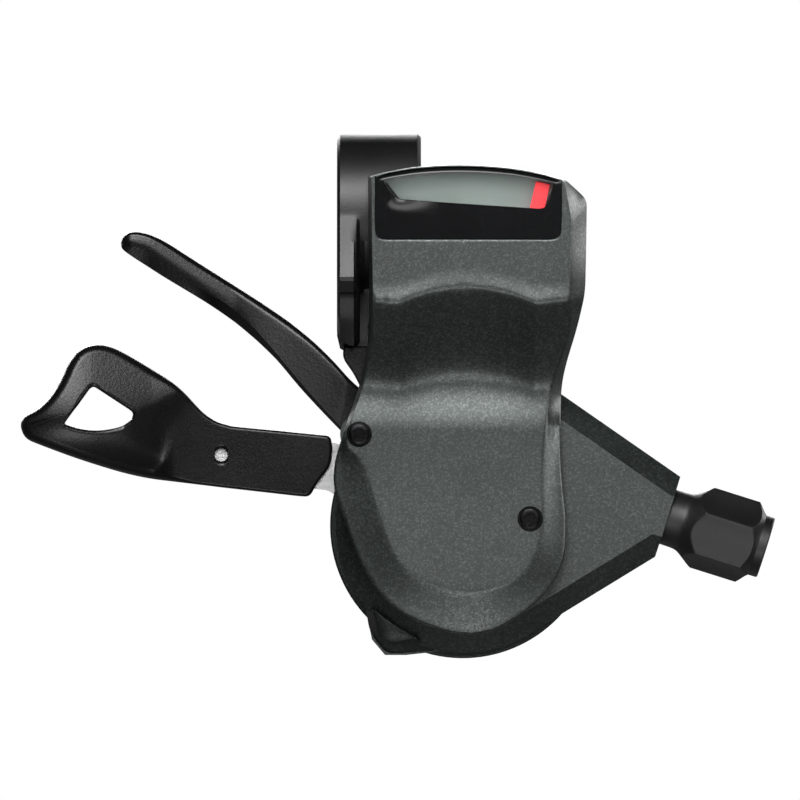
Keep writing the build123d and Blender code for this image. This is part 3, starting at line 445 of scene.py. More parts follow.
class Blank:
    """A material in the making: its tree, its Principled shader and its Object coordinates."""

    def __init__(self, name: str) -> None:
        """Start the material under a name."""
        self.material = bpy.data.materials.new(name)
        self.material.use_nodes = True
        self.tree = self.material.node_tree
        self.shader = next(node for node in self.tree.nodes if node.type == "BSDF_PRINCIPLED")
        self.place = self.tree.nodes.new("ShaderNodeTexCoord").outputs["Object"]

    def put(self, **values: object) -> None:
        """Feed sockets of the shader, named with underscores for spaces, from values or other sockets."""
        for name, value in values.items():
            feed(self.tree, value, self.shader.inputs[name.replace("_", " ")])

    def texture(self, group: bpy.types.NodeTree, place: bpy.types.NodeSocket,
                **values: object) -> bpy.types.Node:
        """Place a shared group and lead its colour and gloss to the shader.

        Args:
            group: Group to place.
            place: Coordinates for it.
            values: Value of each of its inputs.

        Returns:
            The group's node.
        """
        node = self.tree.nodes.new("ShaderNodeGroup")
        node.node_tree = group
        self.tree.links.new(place, node.inputs["Vector"])
        for name, value in values.items():
            node.inputs[name].default_value = value
        self.put(Base_Color=node.outputs["Colour"], Roughness=node.outputs["Gloss"])
        return node

    def emboss(self, height: bpy.types.NodeSocket, strength: float, distance: float) -> None:
        """Lead a height through a Bump node to the shader's normal.

        Args:
            height: Height to lead.
            strength: Strength of the bump.
            distance: Height in metres that 1 stands for.
        """
        node = self.tree.nodes.new("ShaderNodeBump")
        for name, value in zip(("Height", "Strength", "Distance"), (height, strength, distance)):
            feed(self.tree, value, node.inputs[name])
        self.put(Normal=node.outputs["Normal"])


@dataclass(frozen=True)
class FleckPaint:
    """Satin metallic paint: dark ground, fine bright flakes and a clear coat."""

    name: str
    dark: Colour
    light: Colour
    flake_scale: float = 4200.0
    contrast: float = 0.7
    specular: float = 0.72
    sheen: Colour = (0.91, 1.0, 0.97)
    coat_gloss: float = 0.36
    strength: float = 0.06
    depth: float = 0.00004

    def make(self) -> bpy.types.Material:
        """Build the material."""
        blank = Blank(self.name)
        fleck = blank.texture(Groups.fleck(), blank.place, Size=self.flake_scale, Contrast=self.contrast,
                              Dark=opaque(self.dark), Light=opaque(self.light))
        blank.put(Specular_IOR_Level=self.specular, Specular_Tint=opaque(self.sheen),
                  Coat_Weight=fleck.outputs["Spark"], Coat_Roughness=self.coat_gloss)
        blank.emboss(fleck.outputs["Height"], self.strength, self.depth)
        return blank.material


@dataclass(frozen=True)
class MouldedPlastic:
    """Moulded plastic with a fine grain."""

    name: str
    dark: Colour
    light: Colour
    smooth: float
    rough: float
    grain_scale: float = 2600.0
    depth: float = 0.00003
    strength: float = 0.3
    specular: float = 0.5

    def make(self) -> bpy.types.Material:
        """Build the material."""
        blank = Blank(self.name)
        grain = blank.texture(Groups.grain(), blank.place, Size=self.grain_scale, Dark=opaque(self.dark),
                              Light=opaque(self.light), Smooth=self.smooth, Rough=self.rough)
        blank.put(Specular_IOR_Level=self.specular)
        blank.emboss(grain.outputs["Height"], self.strength, self.depth)
        return blank.material


@dataclass(frozen=True)
class Metal:
    """Bare or plated metal with fine drawn lines."""

    name: str
    dark: Colour
    light: Colour
    smooth: float
    rough: float
    stretch: Place = (1.0, 1.0, 1.0)
    line_scale: float = 3000.0
    strength: float = 0.1
    depth: float = 0.00002

    def make(self) -> bpy.types.Material:
        """Build the material."""
        blank = Blank(self.name)
        turn = blank.tree.nodes.new("ShaderNodeMapping")
        turn.inputs["Scale"].default_value = self.stretch
        blank.tree.links.new(blank.place, turn.inputs["Vector"])
        grain = blank.texture(Groups.grain(), turn.outputs["Vector"], Size=self.line_scale,
                              Dark=opaque(self.dark), Light=opaque(self.light), Smooth=self.smooth,
                              Rough=self.rough)
        blank.put(Metallic=1.0)
        blank.emboss(grain.outputs["Height"], self.strength, self.depth)
        return blank.material


@dataclass(frozen=True)
class GlossBlack:
    """Polished black moulding with a faint haze."""

    name: str = "gloss_black"
    dark: Colour = (0.004, 0.0042, 0.0045)
    light_share: float = 1.5
    haze_scale: float = 900.0
    smooth: float = 0.14
    rough: float = 0.18
    specular: float = 0.22

    def make(self) -> bpy.types.Material:
        """Build the material."""
        blank = Blank(self.name)
        light = tuple(part * self.light_share for part in self.dark)
        blank.texture(Groups.grain(), blank.place, Size=self.haze_scale, Dark=opaque(self.dark),
                      Light=opaque(light), Smooth=self.smooth, Rough=self.rough)
        blank.put(Specular_IOR_Level=self.specular)
        return blank.material


@dataclass(frozen=True)
class ClearWindow:
    """Clear acrylic of the gear window."""

    name: str = "clear_acrylic"
    tint: Colour = (0.93, 0.96, 0.95)
    haze_scale: float = 400.0
    gloss: Tuple[float, float] = (0.02, 0.07)
    bending: float = 1.2

    def make(self) -> bpy.types.Material:
        """Build the material."""
        blank = Blank(self.name)
        haze = texture_noise(blank.tree, blank.place, self.haze_scale, 3.0, 0.5)
        blank.put(Roughness=span(blank.tree, haze, NOISE_SPAN, self.gloss), Base_Color=opaque(self.tint),
                  Transmission_Weight=1.0, IOR=self.bending)
        return blank.material


@dataclass(frozen=True)
class DialCard:
    """Satin grey dial with painted shade that darkens it a little towards its upper edge."""

    name: str = "dial_card_painted_shade"
    low: Colour = (0.27, 0.295, 0.285)
    high: Colour = (0.13, 0.145, 0.14)
    rise: Tuple[float, float] = (0.0015, 0.0075)
    painted_shade_share: float = 0.85
    wobble: float = 0.06
    grain_scale: float = 2500.0
    gloss: Tuple[float, float] = (0.4, 0.55)

    def make(self) -> bpy.types.Material:
        """Build the material."""
        blank = Blank(self.name)
        tree = blank.tree
        parts = tree.nodes.new("ShaderNodeSeparateXYZ")
        tree.links.new(blank.place, parts.inputs["Vector"])
        grain = texture_noise(tree, blank.place, self.grain_scale, 2.0, 0.5)
        # Painted shade: the colour goes from the lower tone to the darker upper tone as the dial rises.
        rise = span(tree, parts.outputs["Z"], self.rise, (0.0, self.painted_shade_share))
        wobble = span(tree, grain, NOISE_SPAN, (-self.wobble, self.wobble))
        tone = blend(tree, maths(tree, "ADD", rise, wobble), opaque(self.low), opaque(self.high))
        blank.put(Base_Color=tone, Roughness=span(tree, grain, NOISE_SPAN, self.gloss))
        return blank.material


@dataclass(frozen=True)
class NeedlePaint:
    """Needle sheet: red paint on the flag behind the window, grey plating on the arm below it, and a painted
    glow that makes the red flag shine though it is no lamp.
    """

    name: str = "needle_red_with_painted_glow"
    red: Colour = (0.9, 0.02, 0.035)
    plate: Colour = (0.32, 0.33, 0.33)
    flag_at: Tuple[float, float] = (-0.0176, -0.0182)
    painted_glow: float = 0.35
    grain_scale: float = 3000.0
    gloss: Tuple[float, float] = (0.35, 0.5)

    def make(self) -> bpy.types.Material:
        """Build the material."""
        blank = Blank(self.name)
        tree = blank.tree
        parts = tree.nodes.new("ShaderNodeSeparateXYZ")
        tree.links.new(blank.place, parts.inputs["Vector"])
        flag = span(tree, parts.outputs["Y"], self.flag_at, (0.0, 1.0))
        grain = texture_noise(tree, blank.place, self.grain_scale, 2.0, 0.5)
        # Painted glow: the red flag emits light of its own colour, and the grey arm emits none.
        blank.put(Base_Color=blend(tree, flag, opaque(self.plate), opaque(self.red)),
                  Emission_Color=blend(tree, flag, (0.0, 0.0, 0.0, 1.0), opaque(self.red)),
                  Emission_Strength=self.painted_glow, Roughness=span(tree, grain, NOISE_SPAN, self.gloss))
        return blank.material


class Wardrobe:
    """All finishes of the shifter, one for each slot of the record."""

    black: Tuple[Colour, Colour] = ((0.002, 0.002, 0.0021), (0.006, 0.006, 0.0062))

    def __init__(self) -> None:
        """Make every material once."""
        finishes = {
            Slot.COVER: FleckPaint("cover_fleck_paint", (0.0012, 0.0018, 0.0016), (0.026, 0.033, 0.03)),
            Slot.CASE: FleckPaint("case_fleck_paint", (0.0012, 0.0017, 0.0015), (0.02, 0.025, 0.023),
                                  contrast=0.3, specular=0.28),
            Slot.PLASTIC: MouldedPlastic("lever_plastic", *self.black, 0.26, 0.32, specular=0.25,
                                         strength=0.6),
            Slot.BAND: MouldedPlastic("band_plastic", *self.black, 0.42, 0.5, strength=0.45),
            Slot.RESIN: MouldedPlastic("spool_resin", (0.12, 0.12, 0.125), (0.2, 0.2, 0.205), 0.4, 0.55),
            Slot.GLOSS: GlossBlack(),
            Slot.WINDOW: ClearWindow(),
            Slot.DIAL: DialCard(),
            Slot.NEEDLE: NeedlePaint(),
            Slot.STEEL: Metal("drawn_steel", (0.5, 0.5, 0.5), (0.72, 0.72, 0.72), 0.3, 0.37,
                              stretch=(3.0, 3.0, 30.0), line_scale=1000.0),
            Slot.SPRING: Metal("spring_wire", (0.4, 0.4, 0.41), (0.58, 0.58, 0.6), 0.25, 0.4),
            Slot.DARK_STEEL: Metal("black_oxide", (0.006, 0.006, 0.0063), (0.02, 0.02, 0.021), 0.26, 0.4),
            Slot.BRASS: Metal("turned_brass", (0.55, 0.4, 0.16), (0.72, 0.55, 0.25), 0.25, 0.4),
            Slot.ALUMINIUM: Metal("cast_aluminium", (0.05, 0.052, 0.054), (0.09, 0.092, 0.095), 0.4, 0.55),
        }
        self.materials: Dict[Slot, bpy.types.Material] = {slot: one.make() for slot, one in finishes.items()}

    def dress(self, piece: bpy.types.Object, slot: Slot) -> None:
        """Give a piece its finish on the object's own slots, so that a CAD mesh stays as it is.

        Args:
            piece: Object to dress.
            slot: Slot whose finish it takes.
        """
        if not piece.material_slots:
            piece.data.materials.append(None)
        for place in piece.material_slots:
            place.link = "OBJECT"
            place.material = self.materials[slot]


@dataclass
class CadDressing:
    """Finishes for the CAD nodes that stay: welded, given small worn edges and smooth shading."""

    weld: float = 0.000002
    edge: float = 0.00018
    wide_edge: float = 0.0004
    edge_angle: float = 32.0
    smooth_angle: float = 35.0
    plain: Tuple[str, ...] = ("indicator_window", "indicator_dial")
    wide: Tuple[str, ...] = ("upper_case", "lower_case")

    def shade_by_angle(self) -> bpy.types.NodeTree:
        """Modifier group that shades a mesh smooth and keeps edges over the smoothing angle sharp.

        Returns:
            The geometry node group.
        """
        tree = bpy.data.node_groups.new("shade_by_angle", "GeometryNodeTree")
        for way in ("INPUT", "OUTPUT"):
            tree.interface.new_socket(name="Geometry", in_out=way, socket_type="NodeSocketGeometry")
        start = tree.nodes.new("NodeGroupInput")
        end = tree.nodes.new("NodeGroupOutput")
        faces = tree.nodes.new("GeometryNodeSetShadeSmooth")
        edges = tree.nodes.new("GeometryNodeSetShadeSmooth")
        edges.domain = "EDGE"
        angle = tree.nodes.new("GeometryNodeInputMeshEdgeAngle")
        under = tree.nodes.new("FunctionNodeCompare")
        under.operation = "LESS_EQUAL"
        under.inputs[1].default_value = math.radians(self.smooth_angle)
        tree.links.new(angle.outputs["Unsigned Angle"], under.inputs[0])
        tree.links.new(start.outputs[0], faces.inputs["Geometry"])
        tree.links.new(faces.outputs["Geometry"], edges.inputs["Geometry"])
        tree.links.new(under.outputs["Result"], edges.inputs["Shade Smooth"])
        tree.links.new(edges.outputs["Geometry"], end.inputs[0])
        return tree

    def soften(self, piece: bpy.types.Object, shade: bpy.types.NodeTree) -> None:
        """Put the weld, shading and edge modifiers on one CAD object.

        Args:
            piece: CAD object.
            shade: Shading group.
        """
        weld = piece.modifiers.new("weld", "WELD")
        weld.merge_threshold = self.weld
        smooth = piece.modifiers.new("smooth", "NODES")
        smooth.node_group = shade
        if piece.name not in self.plain:
            break_edges(piece, self.wide_edge if piece.name in self.wide else self.edge, self.edge_angle)

    def dress(self, wardrobe: Wardrobe) -> None:
        """Dress every CAD node by the slot that the record gives it.

        Args:
            wardrobe: Finishes by slot.
        """
        shade = self.shade_by_angle()
        rows = {row["node"]: Slot(row["material_slot"]) for row in frame["record"]["subparts"]}
        for name, piece in frame["nodes"].items():
            wardrobe.dress(piece, rows[name])
            self.soften(piece, shade)
            log.info("CAD node %s takes %s", name, rows[name].value)


@dataclass(frozen=True)
class Lamp:
    """One soft area lamp: place and size in metres, power in watts, full angle of its beam in degrees."""

    name: str
    place: Place
    size: Tuple[float, float]
    power: float
    spread: float

    def build(self, aim: Place) -> None:
        """Place the lamp so that it faces a point, given in metres."""
        data = bpy.data.lights.new(self.name, "AREA")
        data.shape = "RECTANGLE"
        data.size, data.size_y = self.size
        data.energy = self.power
        data.spread = math.radians(self.spread)
        lamp = bpy.data.objects.new(self.name, data)
        lamp.location = self.place
        way = np.array(aim) - np.array(self.place)
        tilt = math.atan2(way[2], math.hypot(way[0], way[1]))
        lamp.rotation_euler = (math.pi / 2 + tilt, 0.0, math.atan2(way[1], way[0]) - math.pi / 2)
        lamp.visible_camera = False
        bpy.context.scene.collection.objects.link(lamp)


@dataclass
class Studio:
    """Plain pale floor, soft lamps and the camera at the photograph's angle."""

    centre: Point = (3.5, -31.0)
    distance: float = 4.0
    sensor: float = 36.0
    frame_width: float = 133.3
    object_depth: float = -10.0
    clip: Tuple[float, float] = (0.01, 100.0)
    floor_height: float = -0.7
    floor_reach: float = 1.3
    floor_points: int = 96
    floor_colour: Colour = (0.9, 0.9, 0.9)
    floor_roughness: float = 0.9
    floor_tone: float = 0.8
    backdrop: float = 0.12
    band_span: Tuple[float, float] = (0.15, 0.55)
    behind_span: Tuple[float, float] = (-0.1, 0.6)
    fill: float = 0.02
    aim: Place = (0.01, 0.0, -0.035)
    lamps: Tuple[Lamp, ...] = (
        Lamp("key", (-0.05, -0.6, 0.42), (0.34, 0.28), 0.78, 60.0),
        Lamp("front", (0.02, -0.9, 0.2), (0.6, 0.16), 0.15, 50.0),
        Lamp("low", (0.03, -0.7, -0.38), (0.34, 0.22), 0.14, 50.0),
        Lamp("side", (0.6, -0.3, 0.04), (0.12, 0.4), 0.26, 60.0),
        Lamp("rim", (0.46, 0.5, 0.15), (0.24, 0.3), 0.12, 60.0),
        Lamp("back", (-0.12, 0.85, 0.28), (0.6, 0.4), 0.7, 50.0),
    )

    def camera(self) -> None:
        """Place the camera in front of the cover, level, at the frame's scale."""
        data = bpy.data.cameras.new("camera")
        data.sensor_width = self.sensor
        data.lens = self.sensor * (self.distance + self.object_depth * MM) / (self.frame_width * MM)
        data.clip_start, data.clip_end = self.clip
        eye = bpy.data.objects.new("camera", data)
        eye.location = (self.centre[0] * MM, -self.distance, self.centre[1] * MM)
        eye.rotation_euler = (math.radians(90.0), 0.0, 0.0)
        bpy.context.scene.collection.objects.link(eye)
        bpy.context.scene.camera = eye

    def share_seen(self, tree: bpy.types.NodeTree, mirrored: object) -> bpy.types.NodeSocket:
        """Share of the background that a ray sees: all to the camera and through glass, part to mirrors.

        Args:
            tree: Node tree of the floor or the world.
            mirrored: Part that mirrors see before it is dimmed, a number or a socket.

        Returns:
            The share.
        """
        path = tree.nodes.new("ShaderNodeLightPath")
        white = maths(tree, "MAXIMUM", path.outputs["Is Camera Ray"], path.outputs["Is Transmission Ray"])
        mirror = maths(tree, "MULTIPLY", mirrored, path.outputs["Is Glossy Ray"])
        return maths(tree, "MAXIMUM", white, maths(tree, "MULTIPLY", mirror, self.backdrop))

    def floor(self) -> None:
        """Lay the round floor, pale to the camera and through glass and dim to mirrors."""
        turn = full_turn(self.floor_points)
        ring = self.floor_reach * np.stack([np.cos(turn), np.sin(turn)], axis=1)
        mesh = bpy.data.meshes.new("floor")
        mesh.from_pydata([(x, y, self.floor_height) for x, y in ring], [], [tuple(range(self.floor_points))])
        plane = bpy.data.objects.new("floor", mesh)
        bpy.context.scene.collection.objects.link(plane)
        blank = Blank("floor_white")
        tone = maths(blank.tree, "MULTIPLY", self.share_seen(blank.tree, 1.0), self.floor_tone)
        blank.put(Base_Color=opaque(self.floor_colour), Roughness=self.floor_roughness,
                  Specular_IOR_Level=0.0, Emission_Color=(1.0, 1.0, 1.0, 1.0), Emission_Strength=tone)
        mesh.materials.append(blank.material)

    def world(self) -> None:
        """Light the surroundings: white to the camera and through glass, a dim band to mirrors."""
        world = bpy.data.worlds.new("studio")
        bpy.context.scene.world = world
        world.use_nodes = True
        tree = world.node_tree
        back = next(node for node in tree.nodes if node.type == "BACKGROUND")
        place = tree.nodes.new("ShaderNodeTexCoord")
        parts = tree.nodes.new("ShaderNodeSeparateXYZ")
        tree.links.new(place.outputs["Generated"], parts.inputs["Vector"])
        band = span(tree, maths(tree, "ABSOLUTE", parts.outputs["Z"]), self.band_span, (1.0, 0.0))
        behind = span(tree, parts.outputs["Y"], self.behind_span, (0.0, 1.0))
        share = self.share_seen(tree, maths(tree, "MULTIPLY", band, behind))
        tree.links.new(span(tree, share, (0.0, 1.0), (self.fill, 1.0)), back.inputs["Strength"])
        back.inputs["Color"].default_value = (1.0, 1.0, 1.0, 1.0)

    def build(self) -> None:
        """Set up the whole studio and its plain colour handling."""
        bpy.context.scene.view_settings.view_transform = "Standard"
        self.camera()
        self.floor()
        self.world()
        for lamp in self.lamps:
            lamp.build(self.aim)


# Sub-assemblies


@dataclass
class MainCover:
    """Front cover: a hump round the display, an arched brow over a scooped neck, a lobe with a coved edge.

    The skin is two grids. Their columns run along the outline, and their rows run from the foot, up the wall
    to the rim and on over the face to the inner loop, which is the display opening and a slit down the middle
    that closes. The second grid is the first moved inward by the wall's thickness, and strips join them at
    the foot and the opening.
    """

    hump: float = 21.85
    valley: float = 9.0
    valley_end: float = -36.2
    valley_run: float = 10.4
    plate: float = 11.0
    plate_lean: float = 0.025
    lean_start: float = -46.0
    lean_round: float = 4.0
    wall_slope: float = 1.0
    wall_start: float = 0.1
    flank_fall: float = 0.16
    flare: float = 0.6
    flare_middle: float = 0.7
    flare_side: float = 0.3
    flare_reach: float = 3.6
    brow_apex: float = -12.4
    brow_side: float = -15.0
    brow_middle: float = 14.6
    brow_round: float = 0.8
    arch_round: float = 0.25
    scoop_half: float = 11.4
    scoop_round: float = 4.0
    foot_low: float = 5.45
    foot_high: float = 14.6
    foot_rise_at: float = -28.0
    foot_rise_run: float = 14.0
    foot_step: float = 4.2
    lobe_at: float = -30.0
    lobe_run: float = 6.0
    cove: float = 0.2
    shoulder: float = 3.4
    waist_top: float = -1.0
    waist_top_run: float = 13.0
    waist_end: float = -30.0
    waist_end_run: float = 10.0
    rim_round: float = 0.35
    rim_crisp: float = 0.23
    crisp_at: float = -39.0
    crisp_run: float = 8.0
    lip: float = 0.3
    lip_share: float = 0.06
    lens_foot: float = -4.3
    lens_sides: Tuple[float, float] = (1.2, 28.4)
    lens_lip: float = 0.16
    lens_lip_reach: float = 0.34
    lens_lip_share: float = 0.6
    opening_foot: float = -4.5
    slit_half: float = 0.01
    thickness: float = 1.2
    thinnest_share: float = 0.7
    narrowest_wall: float = 0.05
    arc: int = 8
    run: int = 6
    foot_rows: Tuple[float, ...] = (0.0, 0.015, 0.035)
    wall_rows: int = 16
    face_rows: int = 70
    even_rows: float = 0.35
    bunched_rows: float = 0.65
    sharp: float = 50.0

    def corners(self) -> Tuple[np.ndarray, ...]:
        """Corners of the foot, the rim and the inner loop, clockwise from the upper left of the hump.

        Returns:
            Foot, rim and inner corners, each shape (v, 2), and their cut lengths, shape (v, 3).
        """
        cx, cz = PIVOT
        top = [
            ((-1.85, 6.25), (-1.45, 6.0), (-0.7, 6.2), (0.5, 0.4, 0.05)),
            ((1.5, 7.05), (1.5, 6.85), (1.5, 6.72), (9, 9, 9)),
            ((6.5, 7.95), (6.5, 7.75), (6.5, 7.6), (9, 9, 9)),
            ((13.5, 8.3), (13.5, 8.1), (13.5, 7.95), (9, 9, 9)),
            ((21.5, 7.85), (21.5, 7.65), (21.5, 7.5), (9, 9, 9)),
            ((27.5, 6.7), (27.5, 6.5), (27.5, 6.38), (9, 9, 9)),
            ((31.0, 5.7), (30.85, 5.2), (30.3, 5.6), (0.6, 0.6, 0.05)),
            ((34.6, 2.4), (31.95, -0.6), (30.3, 2.0), (1.2, 1.2, 1)),
            ((34.5, -6.0), (31.8, -7.0), (30.3, -1.2), (9, 9, 0.6)),
            ((34.3, -13.2), (31.6, -13.6), (30.2, -4.3), (2.0, 2.0, 2.0)),
        ]
        right = [
            ((33.0, -19.0), (31.9, -19.2), (22.0, -4.3), (3, 3, 1)),
            ((31.3, -24.5), (30.3, -24.5), (cx, -4.3), (3, 3, 0)),
            ((30.5, -28.2), (28.8, -28.2), (cx, -9.0), (3, 3, 1)),
            ((30.25, -32.5), (28.2, -32.5), (cx, -16.0), (3, 3, 1)),
            ((30.2, -37.5), (27.6, -38.0), (cx, -23.0), (3, 3, 1)),
            ((30.5, -44.0), (27.1, -44.5), (cx, -30.0), (4, 4, 1)),
            ((31.35, -51.5), (27.35, -50.8), (cx, -36.0), (4, 4, 1)),
            ((30.9, -58.4), (26.4, -56.8), (cx, -42.0), (9, 9, 1)),
            ((26.7, -65.0), (22.7, -61.3), (cx, -48.0), (9, 9, 1)),
        ]
        bottom = [((16.5, -71.3), (14.8, -63.6), (cx, cz), (9, 9, 1))]
        left = [
            ((3.6, -67.2), (6.7, -61.3), (cx, -48.0), (9, 9, 1)),
            ((-2.3, -60.4), (2.6, -57.3), (cx, -42.0), (6, 6, 1)),
            ((-5.0, -53.2), (0.6, -51.8), (cx, -36.0), (6, 6, 1)),
            ((-7.7, -45.8), (-1.6, -44.6), (cx, -30.0), (4, 4, 1)),
            ((-7.4, -41.4), (-3.1, -40.7), (cx, -23.0), (2, 2.2, 1)),
            ((-6.5, -38.2), (-5.8, -38.6), (cx, -16.0), (2, 1.2, 1)),
            ((-5.6, -35.4), (-5.0, -35.4), (cx, -9.0), (3, 3, 1)),
            ((-3.3, -28.8), (-2.7, -28.8), (cx, -4.3), (3, 3, 0)),
            ((-1.75, -22.0), (-1.15, -22.0), (6.5, -4.3), (4, 4, 1)),
        ]
        close = [
            ((-1.6, -13.6), (-1.0, -13.6), (-0.6, -4.3), (4, 4, 2.0)),
            ((-1.7, -5.0), (-1.15, -5.0), (-0.7, -1.2), (4, 4, 0.6)),
            ((-1.8, 2.0), (-1.25, 2.0), (-0.7, 2.6), (2, 2, 1)),
        ]
        rows = top + right + bottom + left + close
        return tuple(np.array([row[i] for row in rows], dtype=float) for i in range(4))

    def face(self, x: np.ndarray, z: np.ndarray) -> np.ndarray:
        """Height of the face towards the rider.

        The brow line is a parabola between two straight flanks, and the face flares forward to it by a square
        law. Below it the wall falls at a set slope from the hump, and below that the valley rises by a smooth
        step to the plate, whose lower half leans forward. Joins between them are rounded by soft minimum and
        maximum.

        Args:
            x: X in millimetres.
            z: Z in millimetres.

        Returns:
            Height, which is minus Y.
        """
        away = np.abs(x - self.brow_middle)
        arch = self.brow_apex + (self.brow_side - self.brow_apex) * (away / self.scoop_half) ** 2
        line = soft_max(arch, np.full_like(x, self.brow_side), self.arch_round)
        flank = self.flank_fall * np.maximum(away - self.scoop_half, 0.0)
        lower = self.plate - (self.plate - self.valley) * ease((z - self.valley_end) / self.valley_run)
        past = z - self.lean_start
        lower = lower + 0.5 * self.plate_lean * (np.sqrt(past ** 2 + self.lean_round ** 2) - past)
        beside = np.clip(away / self.scoop_half, 0.0, 1.0) ** 2
        rise = self.flare * (self.flare_middle + self.flare_side * beside)
        flare = rise * np.clip(1.0 - (z - line) / self.flare_reach, 0.0, 1.0) ** 2
        wall = self.hump + rise + self.wall_start - self.wall_slope * (line - z) - flank
        top = soft_min(wall, self.hump + flare, self.brow_round)
        return soft_max(top, lower, self.scoop_round)

    def foot_height(self, z: np.ndarray) -> np.ndarray:
        """Height of the foot: low along the case, rising behind the neck and level round the hump."""
        share = np.clip((z - self.foot_rise_at) / self.foot_rise_run, 0.0, 1.0)
        return self.foot_low + (self.foot_high - self.foot_low) * share

    def lens_groove(self, plan: np.ndarray, gap: np.ndarray, reach: np.ndarray,
                    opening: np.ndarray) -> np.ndarray:
        """Fall of the face at the display: a square law of the distance to the opening or the lens above.

        Args:
            plan: Plan points of the face, shape (rows, n, 2).
            gap: Distance to the inner loop, shape (rows, n).
            reach: Distance from the rim to the inner loop, shape (n,).
            opening: Which columns end at the opening, shape (n,).

        Returns:
            Depth to take off, shape (rows, n).
        """
        under_lens = (plan[..., 0] > self.lens_sides[0]) & (plan[..., 0] < self.lens_sides[1])
        drop = np.where(under_lens, self.lens_foot - plan[..., 1], FAR)
        near = np.minimum(np.where(opening[None], gap, FAR), np.maximum(drop, 0.0))
        width = np.minimum(self.lens_lip_reach, self.lens_lip_share * reach)[None]
        return self.lens_lip * np.clip(1.0 - near / width, 0.0, 1.0) ** 2

    def build(self) -> bpy.types.Object:
        """Work out the skin and make the piece.

        The wall rises from the foot to the rim by a power of the way across, and is held under the face by a
        soft minimum.

        Returns:
            The cover.
        """
        foot_c, rim_c, inner_c, cuts = self.corners()
        foot = rounded_loop(foot_c, cuts[:, 0], self.arc, self.run)
        rim = rounded_loop(rim_c, cuts[:, 1], self.arc, self.run)
        inner = rounded_loop(inner_c, cuts[:, 2], self.arc, self.run)
        foot_z = foot[:, 1]
        low = self.foot_height(foot_z)
        lobe = ease((self.lobe_at - foot_z) / self.lobe_run)
        waist = ease((self.waist_top - foot_z) / self.waist_top_run)
        waist = waist * ease((foot_z - self.waist_end) / self.waist_end_run)
        step = low + self.foot_step * lobe + self.shoulder * waist
        power = 1.0 + self.cove * lobe
        crest = self.face(rim[:, 0], rim[:, 1])
        even = np.linspace(self.lip_share, 1.0, self.wall_rows - len(self.foot_rows))
        t = np.concatenate([self.foot_rows, even])[:, None]
        plan_wall = foot[None] + (rim - foot)[None] * t[..., None]
        rise = step[None] + (crest - step)[None] * t ** power[None]
        rise = rise - self.lip * lobe[None] * np.clip(1.0 - t / self.lip_share, 0.0, 1.0) ** 2
        crisp = self.rim_round - self.rim_crisp * ease((self.crisp_at - foot_z) / self.crisp_run)[None]
        height_wall = soft_min(rise, self.face(plan_wall[..., 0], plan_wall[..., 1]), crisp)
        spread = np.linspace(0.0, 1.0, self.face_rows)
        u = 0.5 * (1.0 - np.cos(np.pi * spread))[1:, None]
        u = self.even_rows * spread[1:, None] + self.bunched_rows * u
        plan_face = rim[None] + (inner - rim)[None] * u[..., None]
        reach = np.linalg.norm(inner - rim, axis=1)
        width = np.maximum(np.linalg.norm(rim - foot, axis=1), self.narrowest_wall)
        slope = power * (crest - step) / width
        extended = crest[None] + slope[None] * reach[None] * u
        height_face = soft_min(extended, self.face(plan_face[..., 0], plan_face[..., 1]), crisp)
        opening = (inner[:, 1] > self.opening_foot) | (np.abs(inner[:, 0] - PIVOT[0]) > self.slit_half)
        height_face = height_face - self.lens_groove(plan_face, reach[None] * (1.0 - u), reach, opening)
        first = np.concatenate([foot, low[:, None]], axis=1)[None]
        walls = np.concatenate([plan_wall, height_wall[..., None]], axis=2)
        faces = np.concatenate([plan_face, height_face[..., None]], axis=2)
        sheet = np.concatenate([first, walls, faces], axis=0)
        wall = np.minimum(self.thickness, self.thinnest_share * np.where(opening, reach, FAR))
        inward = (inset_loop(rim, np.ones(len(rim))) - rim) * wall[:, None]
        push = np.concatenate([np.ones((1 + self.wall_rows, 1)), 1.0 - u], axis=0)
        sink = np.concatenate([[[0.0]], t, np.ones_like(u)], axis=0) * wall[None]
        under_plan = sheet[..., :2] + inward[None] * push[..., None]
        under = np.concatenate([under_plan, (sheet[..., 2] - sink)[..., None]], axis=2)
        both = np.concatenate([sheet, under], axis=0)
        rows, cols = sheet.shape[:2]
        size = rows * cols
        skin = grid_quads(rows, cols)
        c = np.arange(cols)
        n = (c + 1) % cols
        foot_strip = np.stack([c, n, n + size, c + size], axis=1)
        edge = np.nonzero(opening & opening[n])[0]
        far = (edge + 1) % cols
        last = size - cols
        rim_strip = np.stack([last + far, last + edge, last + edge + size, last + far + size], axis=1)
        quads = np.concatenate([skin, skin[:, ::-1] + size, foot_strip, rim_strip])
        return make_piece("cover_shell", raise_plan(both, -both[..., 2]), quads, self.sharp)


